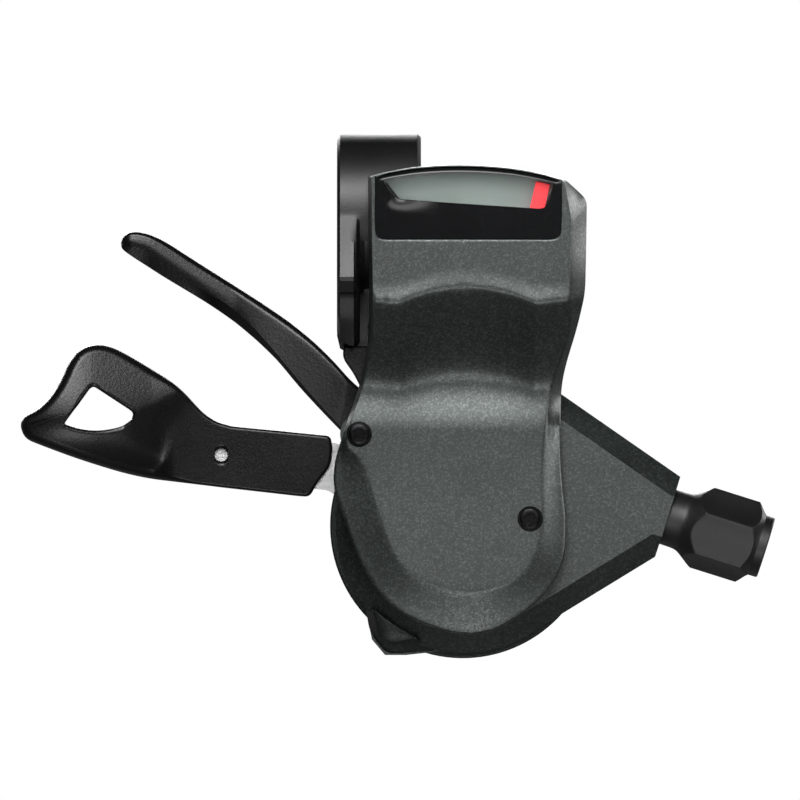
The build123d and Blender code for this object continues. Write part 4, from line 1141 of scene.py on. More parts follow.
@dataclass
class ThumbLever:
    """Main lever's moulded pad: a flat bar, a crease and a roof-shaped paddle with a three-sided hole.

    The skin is a grid. Its columns run along the outline, and its rows run over the front face from the inner
    loop to the rim, round the rolled edge and over the back face to the inner loop again. The inner loop is
    the hole, the pin hole and a slit between them that closes.
    """

    bar_front: float = 4.9
    bar_drop: float = 2.0
    bar_end: float = -34.0
    bar_run: float = 6.0
    bar_round: float = 0.6
    roll: float = 1.5
    bar_roll: float = 0.5
    roll_at: float = -38.0
    roll_run: float = 8.0
    roll_depth: float = 1.4
    roll_most: float = 0.6
    crown_at: Tuple[float, ...] = (30.0, 38.0, 62.0)
    crown: Tuple[float, ...] = (-3.6, -2.6, 1.2)
    ridge: float = -34.0
    upper_lean: float = 0.28
    upper_round: float = 6.0
    lower_bend: float = 0.09
    left_bend: float = 0.03
    left_at: float = -47.0
    crease_at: Point = (-34.2, -26.5)
    crease_way: Point = (-0.489, -0.872)
    crease_step: float = 1.9
    crease_round: float = 0.5
    fall: float = 0.4
    back_at: Tuple[float, ...] = (0.0, 30.0, 38.0, 62.0)
    back_y: Tuple[float, ...] = (9.7, 9.7, 9.1, 6.3)
    back_edge: float = 0.5
    hole_lip: float = 0.45
    hole_lip_reach: float = 0.7
    arc: int = 6
    run: int = 5
    face_rows: int = 26
    face_bunching: float = 0.8
    edge_rows: int = 6
    back_rows: int = 8
    sharp: float = 40.0

    def corners(self) -> Tuple[np.ndarray, np.ndarray, np.ndarray]:
        """Corners of the outline and the inner loop.

        Returns:
            Outline x, z and cut, shape (v, 3); inner x, z and cut, shape (v, 3); whether a hole wall follows
            each inner corner, shape (v,).
        """
        rows = [
            ((-46.7, -21.5, 3), (-47.7, -28.7, 0.7, 1)), ((-43.7, -22.4, 3), (-45.6, -30.1, 1, 1)),
            ((-38.5, -25.5, 3), (-43.3, -31.6, 1, 1)), ((-34.8, -27.8, 2.5), (-41.0, -33.1, 0.9, 1)),
            ((-32.6, -29.7, 2), (-41.4, -34.3, 0, 0)), ((-29.5, -33.2, 2.5), (-34.0, -37.6, 0, 0)),
            ((-27.6, -34.4, 0.5), (-27.47, -40.2, 0, 1)), ((-27.1, -34.62, 0.4), (-27.47, -39.76, 0.4, 1)),
            ((-26.5, -34.85, 0.4), (-26.84, -39.13, 0.4, 1)),
            ((-25.8, -35.05, 0.4), (-25.96, -39.13, 0.4, 1)),
            ((-25.1, -35.24, 0.4), (-25.33, -39.76, 0.4, 1)), ((-24.4, -35.4, 1), (-25.33, -40.2, 0, 0)),
            ((-16.0, -36.2, 3), (-16.0, -41.0, 0, 0)), ((-8.1, -37.0, 0.9), (-13.0, -41.3, 0, 0)),
            ((-7.75, -39.3, 1), (-13.0, -41.3, 0, 0)), ((-8.1, -42.0, 1), (-13.0, -41.3, 0, 0)),
            ((-10.4, -45.0, 1), (-13.0, -41.3, 0, 0)), ((-11.6, -47.2, 0.9), (-13.0, -41.3, 0, 0)),
            ((-13.4, -47.1, 0.8), (-13.0, -41.3, 0, 0)), ((-16.0, -46.8, 3), (-16.0, -41.0, 0, 0)),
            ((-24.4, -45.85, 1), (-25.33, -40.2, 0, 1)), ((-25.2, -45.76, 0.4), (-25.33, -40.64, 0.4, 1)),
            ((-25.9, -45.68, 0.4), (-25.96, -41.27, 0.4, 1)), ((-26.6, -45.6, 0.4), (-26.84, -41.27, 0.4, 1)),
            ((-27.4, -45.5, 0.4), (-27.47, -40.64, 0.4, 1)), ((-28.2, -45.4, 1), (-27.47, -40.2, 0, 0)),
            ((-34.0, -44.7, 3), (-34.0, -37.6, 0, 0)), ((-38.3, -44.2, 2), (-41.4, -34.3, 0, 1)),
            ((-42.5, -43.3, 2), (-43.0, -35.5, 1.5, 1)), ((-46.5, -42.1, 3), (-46.7, -36.2, 2, 1)),
            ((-50.5, -40.8, 3), (-50.0, -35.9, 1.5, 1)), ((-53.8, -39.6, 2), (-52.7, -35.0, 0.5, 1)),
            ((-56.7, -38.5, 2), (-52.2, -34.3, 0.6, 1)), ((-59.2, -37.5, 1.6), (-51.7, -33.6, 0.5, 1)),
            ((-60.1, -35.2, 1.6), (-51.2, -32.9, 0.5, 1)), ((-59.3, -33.6, 1.2), (-50.8, -32.4, 0.5, 1)),
            ((-57.2, -32.7, 2), (-50.4, -31.9, 0.5, 1)), ((-54.8, -30.5, 2), (-49.9, -31.2, 0.5, 1)),
            ((-53.0, -27.4, 2), (-49.4, -30.5, 0.5, 1)), ((-51.7, -24.3, 2), (-48.9, -29.8, 0.5, 1)),
            ((-49.8, -22.2, 2), (-48.4, -29.1, 0.4, 1)),
        ]
        outer = np.array([row[0] for row in rows], dtype=float)
        inner = np.array([row[1][:3] for row in rows], dtype=float)
        return outer, inner, np.array([row[1][3] for row in rows], dtype=bool)

    def front(self, x: np.ndarray, z: np.ndarray) -> np.ndarray:
        """Y of the front face.

        The paddle is a dome: from a ridge at the hole it leans back along a hyperbola above, and by square
        laws below and to the left of the hole. A plane that falls away from the crease joins it to the flat
        bar, and the joins are rounded.

        Args:
            x: X in millimetres.
            z: Z in millimetres.

        Returns:
            Y in millimetres.
        """
        crown = np.interp(-x, self.crown_at, self.crown)
        lift = z - self.ridge
        above = np.sqrt(np.maximum(lift, 0.0) ** 2 + self.upper_round) - math.sqrt(self.upper_round)
        over = self.upper_lean * above + 0.5 * self.lower_bend * np.minimum(lift, 0.0) ** 2
        left = 0.5 * self.left_bend * np.maximum(self.left_at - x, 0.0) ** 2
        roof = crown - over - left
        dx, dz = self.crease_way
        out = (x - self.crease_at[0]) * -dz + (z - self.crease_at[1]) * dx
        fallen = -self.bar_front + self.crease_step - self.fall * out
        skirt = soft_min(roof, fallen, self.crease_round)
        bar = -self.bar_front - self.bar_drop * ease((self.bar_end - x) / self.bar_run)
        return -soft_max(skirt, bar, self.bar_round)

    def back(self, x: np.ndarray) -> np.ndarray:
        """Y of the back face: level behind the bar, nearer to the rider behind the paddle."""
        return np.interp(-x, self.back_at, self.back_y)

    def hole_rounding(self, plan: np.ndarray, inner: np.ndarray, walls: np.ndarray) -> np.ndarray:
        """Rounding of the face at its holes: a fall by a square law within a short reach of a hole's edge.

        Args:
            plan: Plan points, shape (rows, n, 2).
            inner: Inner loop, shape (n, 2).
            walls: Which points of the loop lie on a hole, shape (n,).

        Returns:
            Depth to add, shape (rows, n).
        """
        gap = np.linalg.norm(plan - inner[None], axis=2)
        return self.hole_lip * np.clip(1.0 - gap / self.hole_lip_reach, 0.0, 1.0) ** 2 * walls[None]

    def build(self) -> bpy.types.Object:
        """Work out the skin and make the piece.

        Returns:
            The pad.
        """
        outer_c, inner_c, walls = self.corners()
        outer = rounded_loop(outer_c[:, :2], outer_c[:, 2], self.arc, self.run)
        inner = rounded_loop(inner_c[:, :2], inner_c[:, 2], self.arc, self.run)
        roll = self.roll - (self.roll - self.bar_roll) * ease((outer[:, 0] - self.roll_at) / self.roll_run)
        rim = inset_loop(outer, roll)
        u = np.linspace(0.0, 1.0, self.face_rows)[:, None, None] ** self.face_bunching
        plan_front = inner[None] + (rim - inner)[None] * u
        bent = np.repeat((walls & (inner_c[:, 2] > 0.0))[:, None], self.arc, axis=1)
        straight = np.repeat(walls[:, None], self.run, axis=1)
        on_hole = np.concatenate([bent, straight], axis=1).ravel()
        y_front = self.front(plan_front[..., 0], plan_front[..., 1])
        y_front = y_front + self.hole_rounding(plan_front, inner, on_hole)
        edge = self.front(rim[:, 0], rim[:, 1])
        deep = self.back(rim[:, 0])
        swing = np.linspace(0.0, np.pi / 2, self.edge_rows)[1:, None]
        roll_plan = outer[None] + (rim - outer)[None] * (1.0 - np.sin(swing))[..., None]
        depth = np.minimum(self.roll_depth * roll, self.roll_most * (deep - edge))
        y_roll = edge[None] + depth[None] * (1.0 - np.cos(swing))
        plan_back = rim[None] + (inner - rim)[None] * np.linspace(0.0, 1.0, self.back_rows)[:, None, None]
        y_back = self.back(plan_back[..., 0])
        plan = np.concatenate([plan_front, roll_plan, outer[None], plan_back], axis=0)
        y = np.concatenate([y_front, y_roll, (deep - self.back_edge)[None], y_back], axis=0)
        rows, cols = y.shape
        c = np.nonzero(np.repeat(walls, self.arc + self.run))[0]
        n = (c + 1) % cols
        last = (rows - 1) * cols
        bore = np.stack([last + c, last + n, n, c], axis=1)
        quads = np.concatenate([grid_quads(rows, cols), bore])
        return make_piece("thumb_pad", raise_plan(plan, y), quads, self.sharp)


@dataclass
class ReleaseLever:
    """Release lever: a bent tongue with a rolled upper edge, a ridge and a flank under it, thick at the tip.

    The skin is a grid. Its rows are stations from the tip to the root, and its columns go once round the
    section: up the upper side, over the roll, down the face to the ridge, down the flank and along the back.
    """

    upper: Tuple[Point, ...] = (
        (-43.3, -4.6), (-42.9, -3.6), (-41.9, -2.9), (-40.6, -2.75), (-38.5, -3.2), (-36.0, -4.3),
        (-30.7, -7.7), (-25.5, -11.0), (-20.3, -14.3), (-15.3, -17.7), (-11.2, -21.0), (-7.8, -24.3),
        (-4.8, -27.7), (-1.5, -30.5), (4.0, -36.0), (8.5, -42.5))
    ridge: Tuple[Point, ...] = (
        (-43.3, -4.8), (-42.6, -4.9), (-41.6, -5.1), (-40.4, -5.4), (-38.7, -6.0), (-35.6, -8.3),
        (-28.7, -12.9), (-24.5, -15.6), (-21.0, -18.8), (-17.6, -22.7), (-13.4, -27.8), (-10.0, -31.7),
        (-6.5, -35.4), (-3.5, -38.2), (1.0, -42.5), (5.5, -47.0))
    lower: Tuple[Point, ...] = (
        (-43.3, -5.0), (-43.15, -5.6), (-42.5, -6.2), (-40.9, -7.3), (-39.0, -8.5), (-36.4, -10.2),
        (-28.7, -14.8), (-24.2, -17.9), (-20.4, -21.1), (-17.0, -24.4), (-13.4, -28.8), (-9.8, -32.7),
        (-6.2, -36.4), (-3.2, -39.2), (1.2, -43.2), (5.7, -47.6))
    stations: int = 96
    bell: int = 9
    depth_at: Tuple[float, ...] = (-30.0, 7.0, 24.0, 46.0)
    front: Tuple[float, ...] = (10.35, 10.35, 14.2, 15.0)
    back: Tuple[float, ...] = (12.25, 12.25, 17.6, 20.2)
    back_edge: float = 0.6
    back_inset: float = 0.12
    lean: float = 0.05
    tip_lean: float = 0.02
    tip_lean_at: float = -14.0
    roll_share: float = 0.32
    roll_most: float = 0.45
    steep_tip: float = 0.22
    steep_root: float = 0.98
    steep_at: float = -33.0
    flank_most: float = 0.55
    bend_run: float = 12.0
    swell: float = 0.1
    swell_at: float = -20.0
    swell_run: float = 10.0
    tip_share: float = 0.15
    tip_least: float = 0.02
    roll_rows: int = 7
    face_rows: int = 9
    flank_rows: int = 5
    hub_radii: Tuple[float, float] = (5.0, 11.0)
    hub_y: Tuple[float, float] = (10.35, 12.25)
    hub_columns: int = 64
    sharp: float = 38.0

    def lines(self) -> Tuple[np.ndarray, ...]:
        """The three long edges at every station: running means of the drawn corners, to bend smoothly.

        Returns:
            Upper edge, ridge and lower edge, each shape (stations, 2).
        """
        knots = np.linspace(0.0, 1.0, len(self.upper))
        t = np.linspace(0.0, 1.0, self.stations)
        bell = np.hanning(self.bell)[1:-1] / np.hanning(self.bell)[1:-1].sum()
        pad = len(bell) // 2
        out = []
        for drawn in (self.upper, self.ridge, self.lower):
            corner = np.array(drawn)
            line = np.stack([np.interp(t, knots, corner[:, i]) for i in range(2)], axis=1)
            padded = np.pad(line, ((pad, pad), (0, 0)), mode="reflect", reflect_type="odd")
            out.append(np.stack([np.convolve(padded[:, i], bell, mode="valid") for i in range(2)], axis=1))
        return tuple(out)

    def tongue(self) -> np.ndarray:
        """Skin of the tongue.

        The roll is a quarter circle, the face runs straight to the ridge and swells by half a sine, and the
        flank falls at a slope that grows to the root. The section closes at the tip by a quarter circle.

        Returns:
            Grid of points, shape (stations + 2, columns, 3), whose first and last rows are single points.
        """
        up, ridge, low = self.lines()
        x = ridge[:, 0]
        front = np.interp(-x, self.depth_at, self.front)
        back = np.interp(-x, self.depth_at, self.back)
        thick = back - front
        lean = self.lean + self.tip_lean * ease((self.tip_lean_at - x) / self.bend_run)
        width = np.linalg.norm(ridge - up, axis=1)
        roll = np.minimum(self.roll_share * width, self.roll_most * thick)
        steep = self.steep_tip + self.steep_root * ease((x - self.steep_at) / self.bend_run)
        flank = np.minimum(steep * np.linalg.norm(low - ridge, axis=1), self.flank_most * thick)
        swing = np.linspace(0.0, np.pi / 2, self.roll_rows)[:, None]
        inward = (ridge - up) / np.maximum(width, 1e-6)[:, None]
        roll_plan = up[None] + inward[None] * (roll[None] * (1.0 - np.cos(swing)))[..., None]
        top_y = front + lean * (width - roll)
        roll_y = top_y[None] + roll[None] * (1.0 - np.sin(swing))
        u = np.linspace(0.0, 1.0, self.face_rows)[1:, None]
        start = up + inward * roll[:, None]
        face_plan = start[None] + (ridge - start)[None] * u[..., None]
        bulge = np.sin(np.pi * u) * ease((self.swell_at - x) / self.swell_run)[None]
        face_y = top_y[None] + (front - top_y)[None] * u - self.swell * bulge
        v = np.linspace(0.0, 1.0, self.flank_rows)[1:, None]
        flank_plan = ridge[None] + (low - ridge)[None] * v[..., None]
        flank_y = front[None] + flank[None] * v
        inner_low = low + (up - low) * self.back_inset
        inner_up = up + (low - up) * self.back_inset
        back_plan = np.stack([low, inner_low, inner_up, up], axis=0)
        back_y = np.stack([back - self.back_edge, back, back, back - self.back_edge], axis=0)
        plan = np.concatenate([roll_plan, face_plan, flank_plan, back_plan], axis=0)
        y = np.concatenate([roll_y, face_y, flank_y, back_y], axis=0)
        middle = 0.5 * (front + back)
        along = np.clip(np.linspace(0.0, 1.0, self.stations) / self.tip_share, self.tip_least, 1.0)
        closing = np.sqrt(1.0 - (1.0 - along) ** 2)
        y = middle[None] + (y - middle[None]) * closing[None]
        skin = raise_plan(plan, y).transpose(1, 0, 2)
        first = np.repeat(skin[:1].mean(axis=1, keepdims=True), skin.shape[1], axis=1)
        last = np.repeat(skin[-1:].mean(axis=1, keepdims=True), skin.shape[1], axis=1)
        return np.concatenate([first, skin, last], axis=0)

    def hub(self) -> np.ndarray:
        """Flat ring round the pivot that the tongue grows from: four corners carried round a circle.

        Returns:
            Grid of points, shape (columns + 1, 4, 3), whose last row is the first again.
        """
        turn = full_turn(self.hub_columns)[:, None]
        inner, outer = self.hub_radii
        near, far = self.hub_y
        radius = np.array([inner, outer, outer, inner])[None]
        plan = np.stack([PIVOT[0] + radius * np.cos(turn), PIVOT[1] + radius * np.sin(turn)], axis=-1)
        points = raise_plan(plan, np.array([near, near, far, far])[None])
        return np.concatenate([points, points[:1]], axis=0)

    def build(self) -> bpy.types.Object:
        """Make the piece of the tongue and its hub ring."""
        tongue = self.tongue()
        ring = self.hub()
        size = tongue.shape[0] * tongue.shape[1]
        points = np.concatenate([tongue.reshape(-1, 3), ring.reshape(-1, 3)])
        ring_quads = grid_quads(ring.shape[0], ring.shape[1]) + size
        quads = np.concatenate([grid_quads(tongue.shape[0], tongue.shape[1]), ring_quads])
        return make_piece("release_tongue", points, quads, self.sharp)


@dataclass
class AdjusterKnob:
    """Barrel adjuster: a round neck that flares into six hollowed flats, a bevelled end and a smaller collar.

    The skin is a grid. Its columns go round the axis from one corner of the six, and its rows follow the
    profile out along the outside and back in through the bore.
    """

    corner: float = 7.15
    corner_cut: float = 0.07
    hollow: float = 0.3
    neck: float = 4.72
    flare_at: float = 2.9
    flare_slope: float = 0.74
    flare_round: float = 0.45
    collar: float = 5.17
    collar_at: float = 15.7
    collar_step: float = 0.02
    bevel_at: float = 15.55
    bevel_slope: float = 1.25
    bevel_round: float = 0.35
    ridge_round: float = 0.05
    end_round: float = 0.2
    bore_reach: Tuple[float, ...] = (17.25, 16.9, 9.3, 9.2, 0.3, 0.05)
    bore_radius: Tuple[float, ...] = (3.4, 3.15, 3.15, 2.66, 2.66, 2.75)
    roll: float = math.radians(21.0)
    columns: int = 192
    sharp: float = 24.0

    def along_nose(self, reach: np.ndarray, side: np.ndarray, depth: np.ndarray) -> np.ndarray:
        """Points measured from the middle of the nose's end: out along its axis, up across it, and in Y.

        Args:
            reach: Distance outward along the axis.
            side: Distance across the axis in the front view.
            depth: Y.

        Returns:
            Points, shape (..., 3).
        """
        c, s = math.cos(NOSE_TILT), math.sin(NOSE_TILT)
        x = NOSE_END[0] + reach * c + side * s
        z = NOSE_END[1] - reach * s + side * c
        return np.stack([x, depth, z], axis=-1)

    def flats(self, turn: np.ndarray) -> np.ndarray:
        """Distance of the six flats from the axis.

        Each flat is a plane at the corner radius times the cosine of 30 degrees, hollowed by a parabola, with
        its corners cut a little.

        Args:
            turn: Angle from a corner.

        Returns:
            Radius at each angle.
        """
        step = np.pi / 3
        from_middle = (turn % step) - step / 2
        plane = self.corner * math.cos(step / 2) / np.cos(from_middle)
        share = np.tan(from_middle) / math.tan(step / 2)
        return np.minimum(plane - self.hollow * (1.0 - share * share), self.corner - self.corner_cut)

    def build(self) -> bpy.types.Object:
        """Work out the skin and make the piece.

        The profile is the least of a cone that flares from the neck, a cone that falls to the collar and the
        flats, with rounded joins.

        Returns:
            The knob.
        """
        turn = full_turn(self.columns)
        reach = np.concatenate([[0.05, 0.3, 1.2, 2.0], np.linspace(2.4, 6.6, 29), np.linspace(7.0, 13.2, 12),
                                np.linspace(13.4, 15.7, 19), [15.9, 16.6, 17.05, 17.25]])
        cone = self.neck + (reach - self.flare_at) * self.flare_slope
        flare = soft_max(np.full_like(reach, self.neck), cone, self.flare_round)
        bevel = self.collar + (self.bevel_at - reach) * self.bevel_slope
        ending = soft_max(np.full_like(reach, self.collar), bevel, self.bevel_round)
        limit = soft_min(flare, ending, self.ridge_round)
        limit = np.minimum(limit, self.collar + self.collar_step + FAR * (reach < self.collar_at))
        limit[-1] -= self.end_round
        outside = np.minimum(limit[:, None], self.flats(turn)[None])
        bore = np.repeat(np.array(self.bore_radius)[:, None], self.columns, axis=1)
        radius = np.concatenate([outside, bore, outside[:1]], axis=0)
        reach = np.concatenate([reach, self.bore_reach, reach[:1]])
        angle = turn + self.roll
        points = self.along_nose(np.repeat(reach[:, None], self.columns, axis=1),
                                 radius * np.sin(angle)[None], -radius * np.cos(angle)[None])
        return make_round("adjuster_barrel", points, self.sharp)


@dataclass
class ClampBand:
    """Split bar clamp: a round band with two ears under it and a raised boss and lug along its outer side.

    The skin is a grid. Its rows go round the bar from one ear to the other, and its columns go once round the
    band's section: out across the width on the outside and back on the bore.
    """

    bore: float = 11.12
    band: float = 13.5
    thinnest: float = 0.3
    ear_bottom: float = 24.0
    ear_side: float = 5.2
    ear_facing: float = 0.3
    slot: float = 1.0
    boss: Tuple[Place, ...] = ((-0.945, 0.327, 12.69), (-0.7, 0.714, 10.9), (0.0, 1.0, 6.0),
                               (0.0, -1.0, 13.3), (-0.8, -0.6, 20.3), (1.0, 0.0, 6.0))
    lug: Tuple[Place, ...] = ((-0.93, -0.37, 18.0), (0.0, -1.0, 22.6), (1.0, 0.0, 1.0), (0.0, 1.0, 3.0))
    lug_top: float = 13.0
    raised_end: float = 0.98
    across: Tuple[float, ...] = (-7.0, -6.5, -5.0, -4.2, -3.75, -3.2, -2.4, 0.0, 4.0, 6.4, 7.0)
    raised: Tuple[float, ...] = (0.93, 1.0, 1.0, 1.0, 0.9, 0.12, 0.0, 0.0, 0.0, 0.0, 0.0)
    chamfer: Tuple[float, ...] = (0.55, 0.0, 0.0, 0.0, 0.0, 0.0, 0.0, 0.0, 0.0, 0.0, 0.6)
    taper: Tuple[float, ...] = (3.2, 1.6, 0.8, 0.6, 0.5, 0.3, 0.0, 0.0, 0.0, 0.0, 0.6)
    taper_at: float = 0.8
    taper_run: float = 0.12
    bore_columns: Tuple[int, ...] = (10, 7, 0)
    bunching: float = 0.13
    steps: int = 240
    beyond: float = 90.0
    least_facing: float = 0.02
    edge: float = 0.00022
    edge_angle: float = 26.0
    sharp: float = 28.0

    def ray(self, turn: np.ndarray, planes: Sequence[Place]) -> np.ndarray:
        """Distance from the bar's axis to a convex shape, the least over its sides of offset over facing.

        Args:
            turn: Angle from straight down towards the rider.
            planes: Direction in Y and Z and offset of each side.

        Returns:
            Distance at each angle.
        """
        way = np.stack([-np.sin(turn), -np.cos(turn)], axis=1)
        reach = np.full(len(turn), self.beyond)
        for y, z, offset in planes:
            facing = way @ np.array([y, z])
            met = offset / np.maximum(facing, self.least_facing)
            reach = np.minimum(reach, np.where(facing > self.least_facing, met, self.beyond))
        return reach

    def build(self) -> bpy.types.Object:
        """Work out the skin and make the piece with its broken edges.

        The outside is the greater of the band's circle, the ears, the boss and the lug at each angle.

        Returns:
            The clamp band.
        """
        first = math.atan2(self.slot, self.ear_bottom)
        s = np.linspace(0.0, 1.0, self.steps)
        turn = first + (2.0 * np.pi - 2.0 * first) * (s - self.bunching * np.sin(2.0 * np.pi * s))
        off = np.abs(np.sin(turn))
        down = np.cos(turn)
        ear = np.minimum(self.ear_bottom / np.maximum(down, 0.05), self.ear_side / np.maximum(off, 0.01))
        below = down > self.ear_facing
        plain = np.where(below, np.maximum(self.band, ear), self.band)
        slot_wall = self.slot / np.maximum(off, 1e-4)
        hole = np.where(below, np.maximum(self.bore, np.minimum(slot_wall, plain)), self.bore)
        lug = self.ray(turn, self.lug)
        lug = np.where(lug * down > self.lug_top, lug, 0.0)
        on_side = (turn > first * 3) & (turn < np.pi * self.raised_end)
        most = np.maximum(plain, np.maximum(self.ray(turn, self.boss), lug))
        raised = np.where(on_side, most, plain)
        outside = plain[:, None] + (raised - plain)[:, None] * np.array(self.raised)[None]
        taper = np.array(self.taper)[None] * ease((down - self.taper_at) / self.taper_run)[:, None]
        outside = np.maximum(outside - np.array(self.chamfer)[None] - taper, self.bore + self.thinnest)
        columns = list(self.bore_columns)
        radius = np.concatenate([outside, np.minimum(hole[:, None], outside[:, columns])], axis=1)
        across = np.concatenate([self.across, np.array(self.across)[columns]])
        points = np.stack([np.repeat(across[None], self.steps, axis=0), -radius * np.sin(turn)[:, None],
                           -radius * np.cos(turn)[:, None]], axis=-1)
        piece = make_round("clamp_ring", points, self.sharp)
        break_edges(piece, self.edge, self.edge_angle)
        return piece


@dataclass
class DisplayLens:
    """Front of the gear display: a glossy black frame that rolls back at its top, and its clear pane.

    The frame is a grid. Its columns run along the outline, and its rows run over the front from the window's
    edge to the outline, down the side and over the back to the window's edge again. The pane is a grid round
    its middle.
    """

    front: float = 22.0
    back: float = 19.8
    top_roll: float = 0.75
    top_corner: float = 6.0
    dip: float = 0.34
    dip_reach: float = 2.4
    dip_corners: Tuple[float, float] = (8.5, 13.4)
    dip_from: float = 1.0
    dip_run: float = 11.0
    pane_front: float = 21.5
    pane_back: float = 20.2
    pane_margin: float = 0.12
    pane_rows: Tuple[float, ...] = (0.0, 0.5, 0.9, 1.0)
    middle: Point = (14.5, 3.8)
    arc: int = 8
    run: int = 6
    rows: int = 22
    sharp: float = 40.0

    def loops(self) -> Tuple[np.ndarray, np.ndarray]:
        """Outline of the frame and of its window, clockwise from the upper left.

        Returns:
            Both loops, each shape (n, 2).
        """
        rows = [
            ((-0.7, 6.2, 0.05), (0.75, 5.5, 0.2)), ((1.5, 6.72, 9), (2.4, 5.9, 9)),
            ((6.5, 7.6, 9), (6.8, 6.5, 9)), ((13.5, 7.95, 9), (13.5, 6.85, 9)),
            ((21.5, 7.5, 9), (21.3, 6.45, 9)), ((27.5, 6.38, 9), (27.0, 5.45, 9)),
            ((30.3, 5.6, 0.05), (28.95, 5.0, 0.2)), ((30.3, 1.5, 2), (28.5, 2.3, 1.2)),
            ((30.3, -4.4, 2), (27.5, 0.72, 1.3)), ((22.0, -4.4, 2), (22.0, 1.1, 2)),
            ((12.0, -4.4, 2), (12.0, 1.75, 2)), ((5.0, -4.4, 2), (6.0, 2.12, 2)),
            ((-0.7, -4.4, 2), (2.75, 2.3, 1.8)), ((-0.7, 1.5, 2), (1.5, 4.0, 1.0)),
        ]
        outer = np.array([row[0] for row in rows], dtype=float)
        inner = np.array([row[1] for row in rows], dtype=float)
        return (rounded_loop(outer[:, :2], outer[:, 2], self.arc, self.run),
                rounded_loop(inner[:, :2], inner[:, 2], self.arc, self.run))

    def build_frame(self) -> bpy.types.Object:
        """Work out the frame and make the piece.

        Its front falls by a square law to the top outline, and dips by a square law to the window's lower
        left edge.

        Returns:
            The frame.
        """
        outer, inner = self.loops()
        u = np.linspace(0.0, 1.0, self.rows)[:, None]
        plan = inner[None] + (outer - inner)[None] * u[..., None]
        step = self.arc / (self.arc + self.run)
        corner = np.arange(len(outer)) / (self.arc + self.run)
        upper = np.clip(corner / step, 0.0, 1.0) * np.clip((self.top_corner + step - corner) / step, 0.0, 1.0)
        start, end = self.dip_corners
        lower = np.clip(corner - start, 0.0, 1.0) * np.clip(end - corner, 0.0, 1.0)
        share = self.dip * (1.0 - ease((plan[..., 0] - self.dip_from) / self.dip_run)) * lower[None]
        depth = np.linalg.norm(plan - inner[None], axis=2)
        height = self.front - self.top_roll * u * u * upper[None]
        height = height - share * np.clip(1.0 - depth / self.dip_reach, 0.0, 1.0) ** 2
        level = np.full((1, len(outer)), self.back)
        plan = np.concatenate([plan, outer[None], inner[None]], axis=0)
        points = raise_plan(plan, -np.concatenate([height, level, level], axis=0))
        return make_round("display_frame", np.concatenate([points, points[:1]], axis=0), self.sharp)

    def build_pane(self) -> bpy.types.Object:
        """Work out the flat pane, a little wider than the window, and make the piece.

        Returns:
            The pane.
        """
        _, inner = self.loops()
        edge = inset_loop(inner, np.full(len(inner), -self.pane_margin))
        count = len(self.pane_rows)
        spread = np.array(self.pane_rows + self.pane_rows[::-1])[:, None, None]
        plan = np.array(self.middle) + (edge[None] - np.array(self.middle)) * spread
        y = -np.array([self.pane_front] * count + [self.pane_back] * count)[:, None]
        return make_round("display_pane", raise_plan(plan, y), self.sharp)


@dataclass
class BracketCheek:
    """Black cheek plate below the band: a flat plate with a rounded outline and broken edges."""

    near: float = 7.3
    far: float = 5.25
    edge: float = 0.3
    corners: Tuple[Point, ...] = ((-5.9, -22.0), (0.5, -22.0), (0.5, -31.0), (-2.3, -30.6), (-4.15, -26.7),
                                  (-6.1, -24.0))
    cuts: Tuple[float, ...] = (0.5, 0.5, 0.5, 0.5, 1.5, 1.2)
    arc: int = 6
    run: int = 6
    sharp: float = 30.0

    def build(self) -> bpy.types.Object:
        """Work out the plate as a grid round its middle and make the piece.

        Returns:
            The plate.
        """
        outline = rounded_loop(np.array(self.corners), np.array(self.cuts), self.arc, self.run)
        inside = inset_loop(outline, np.full(len(outline), self.edge))
        middle = np.repeat(inside.mean(axis=0, keepdims=True), len(outline), axis=0)
        plan = np.stack([middle, inside, outline, outline, inside, middle], axis=0)
        y = np.array([self.near, self.near, self.near - self.edge, self.far + self.edge, self.far, self.far])
        return make_round("bracket_cheek", raise_plan(plan, -y[:, None]), self.sharp)


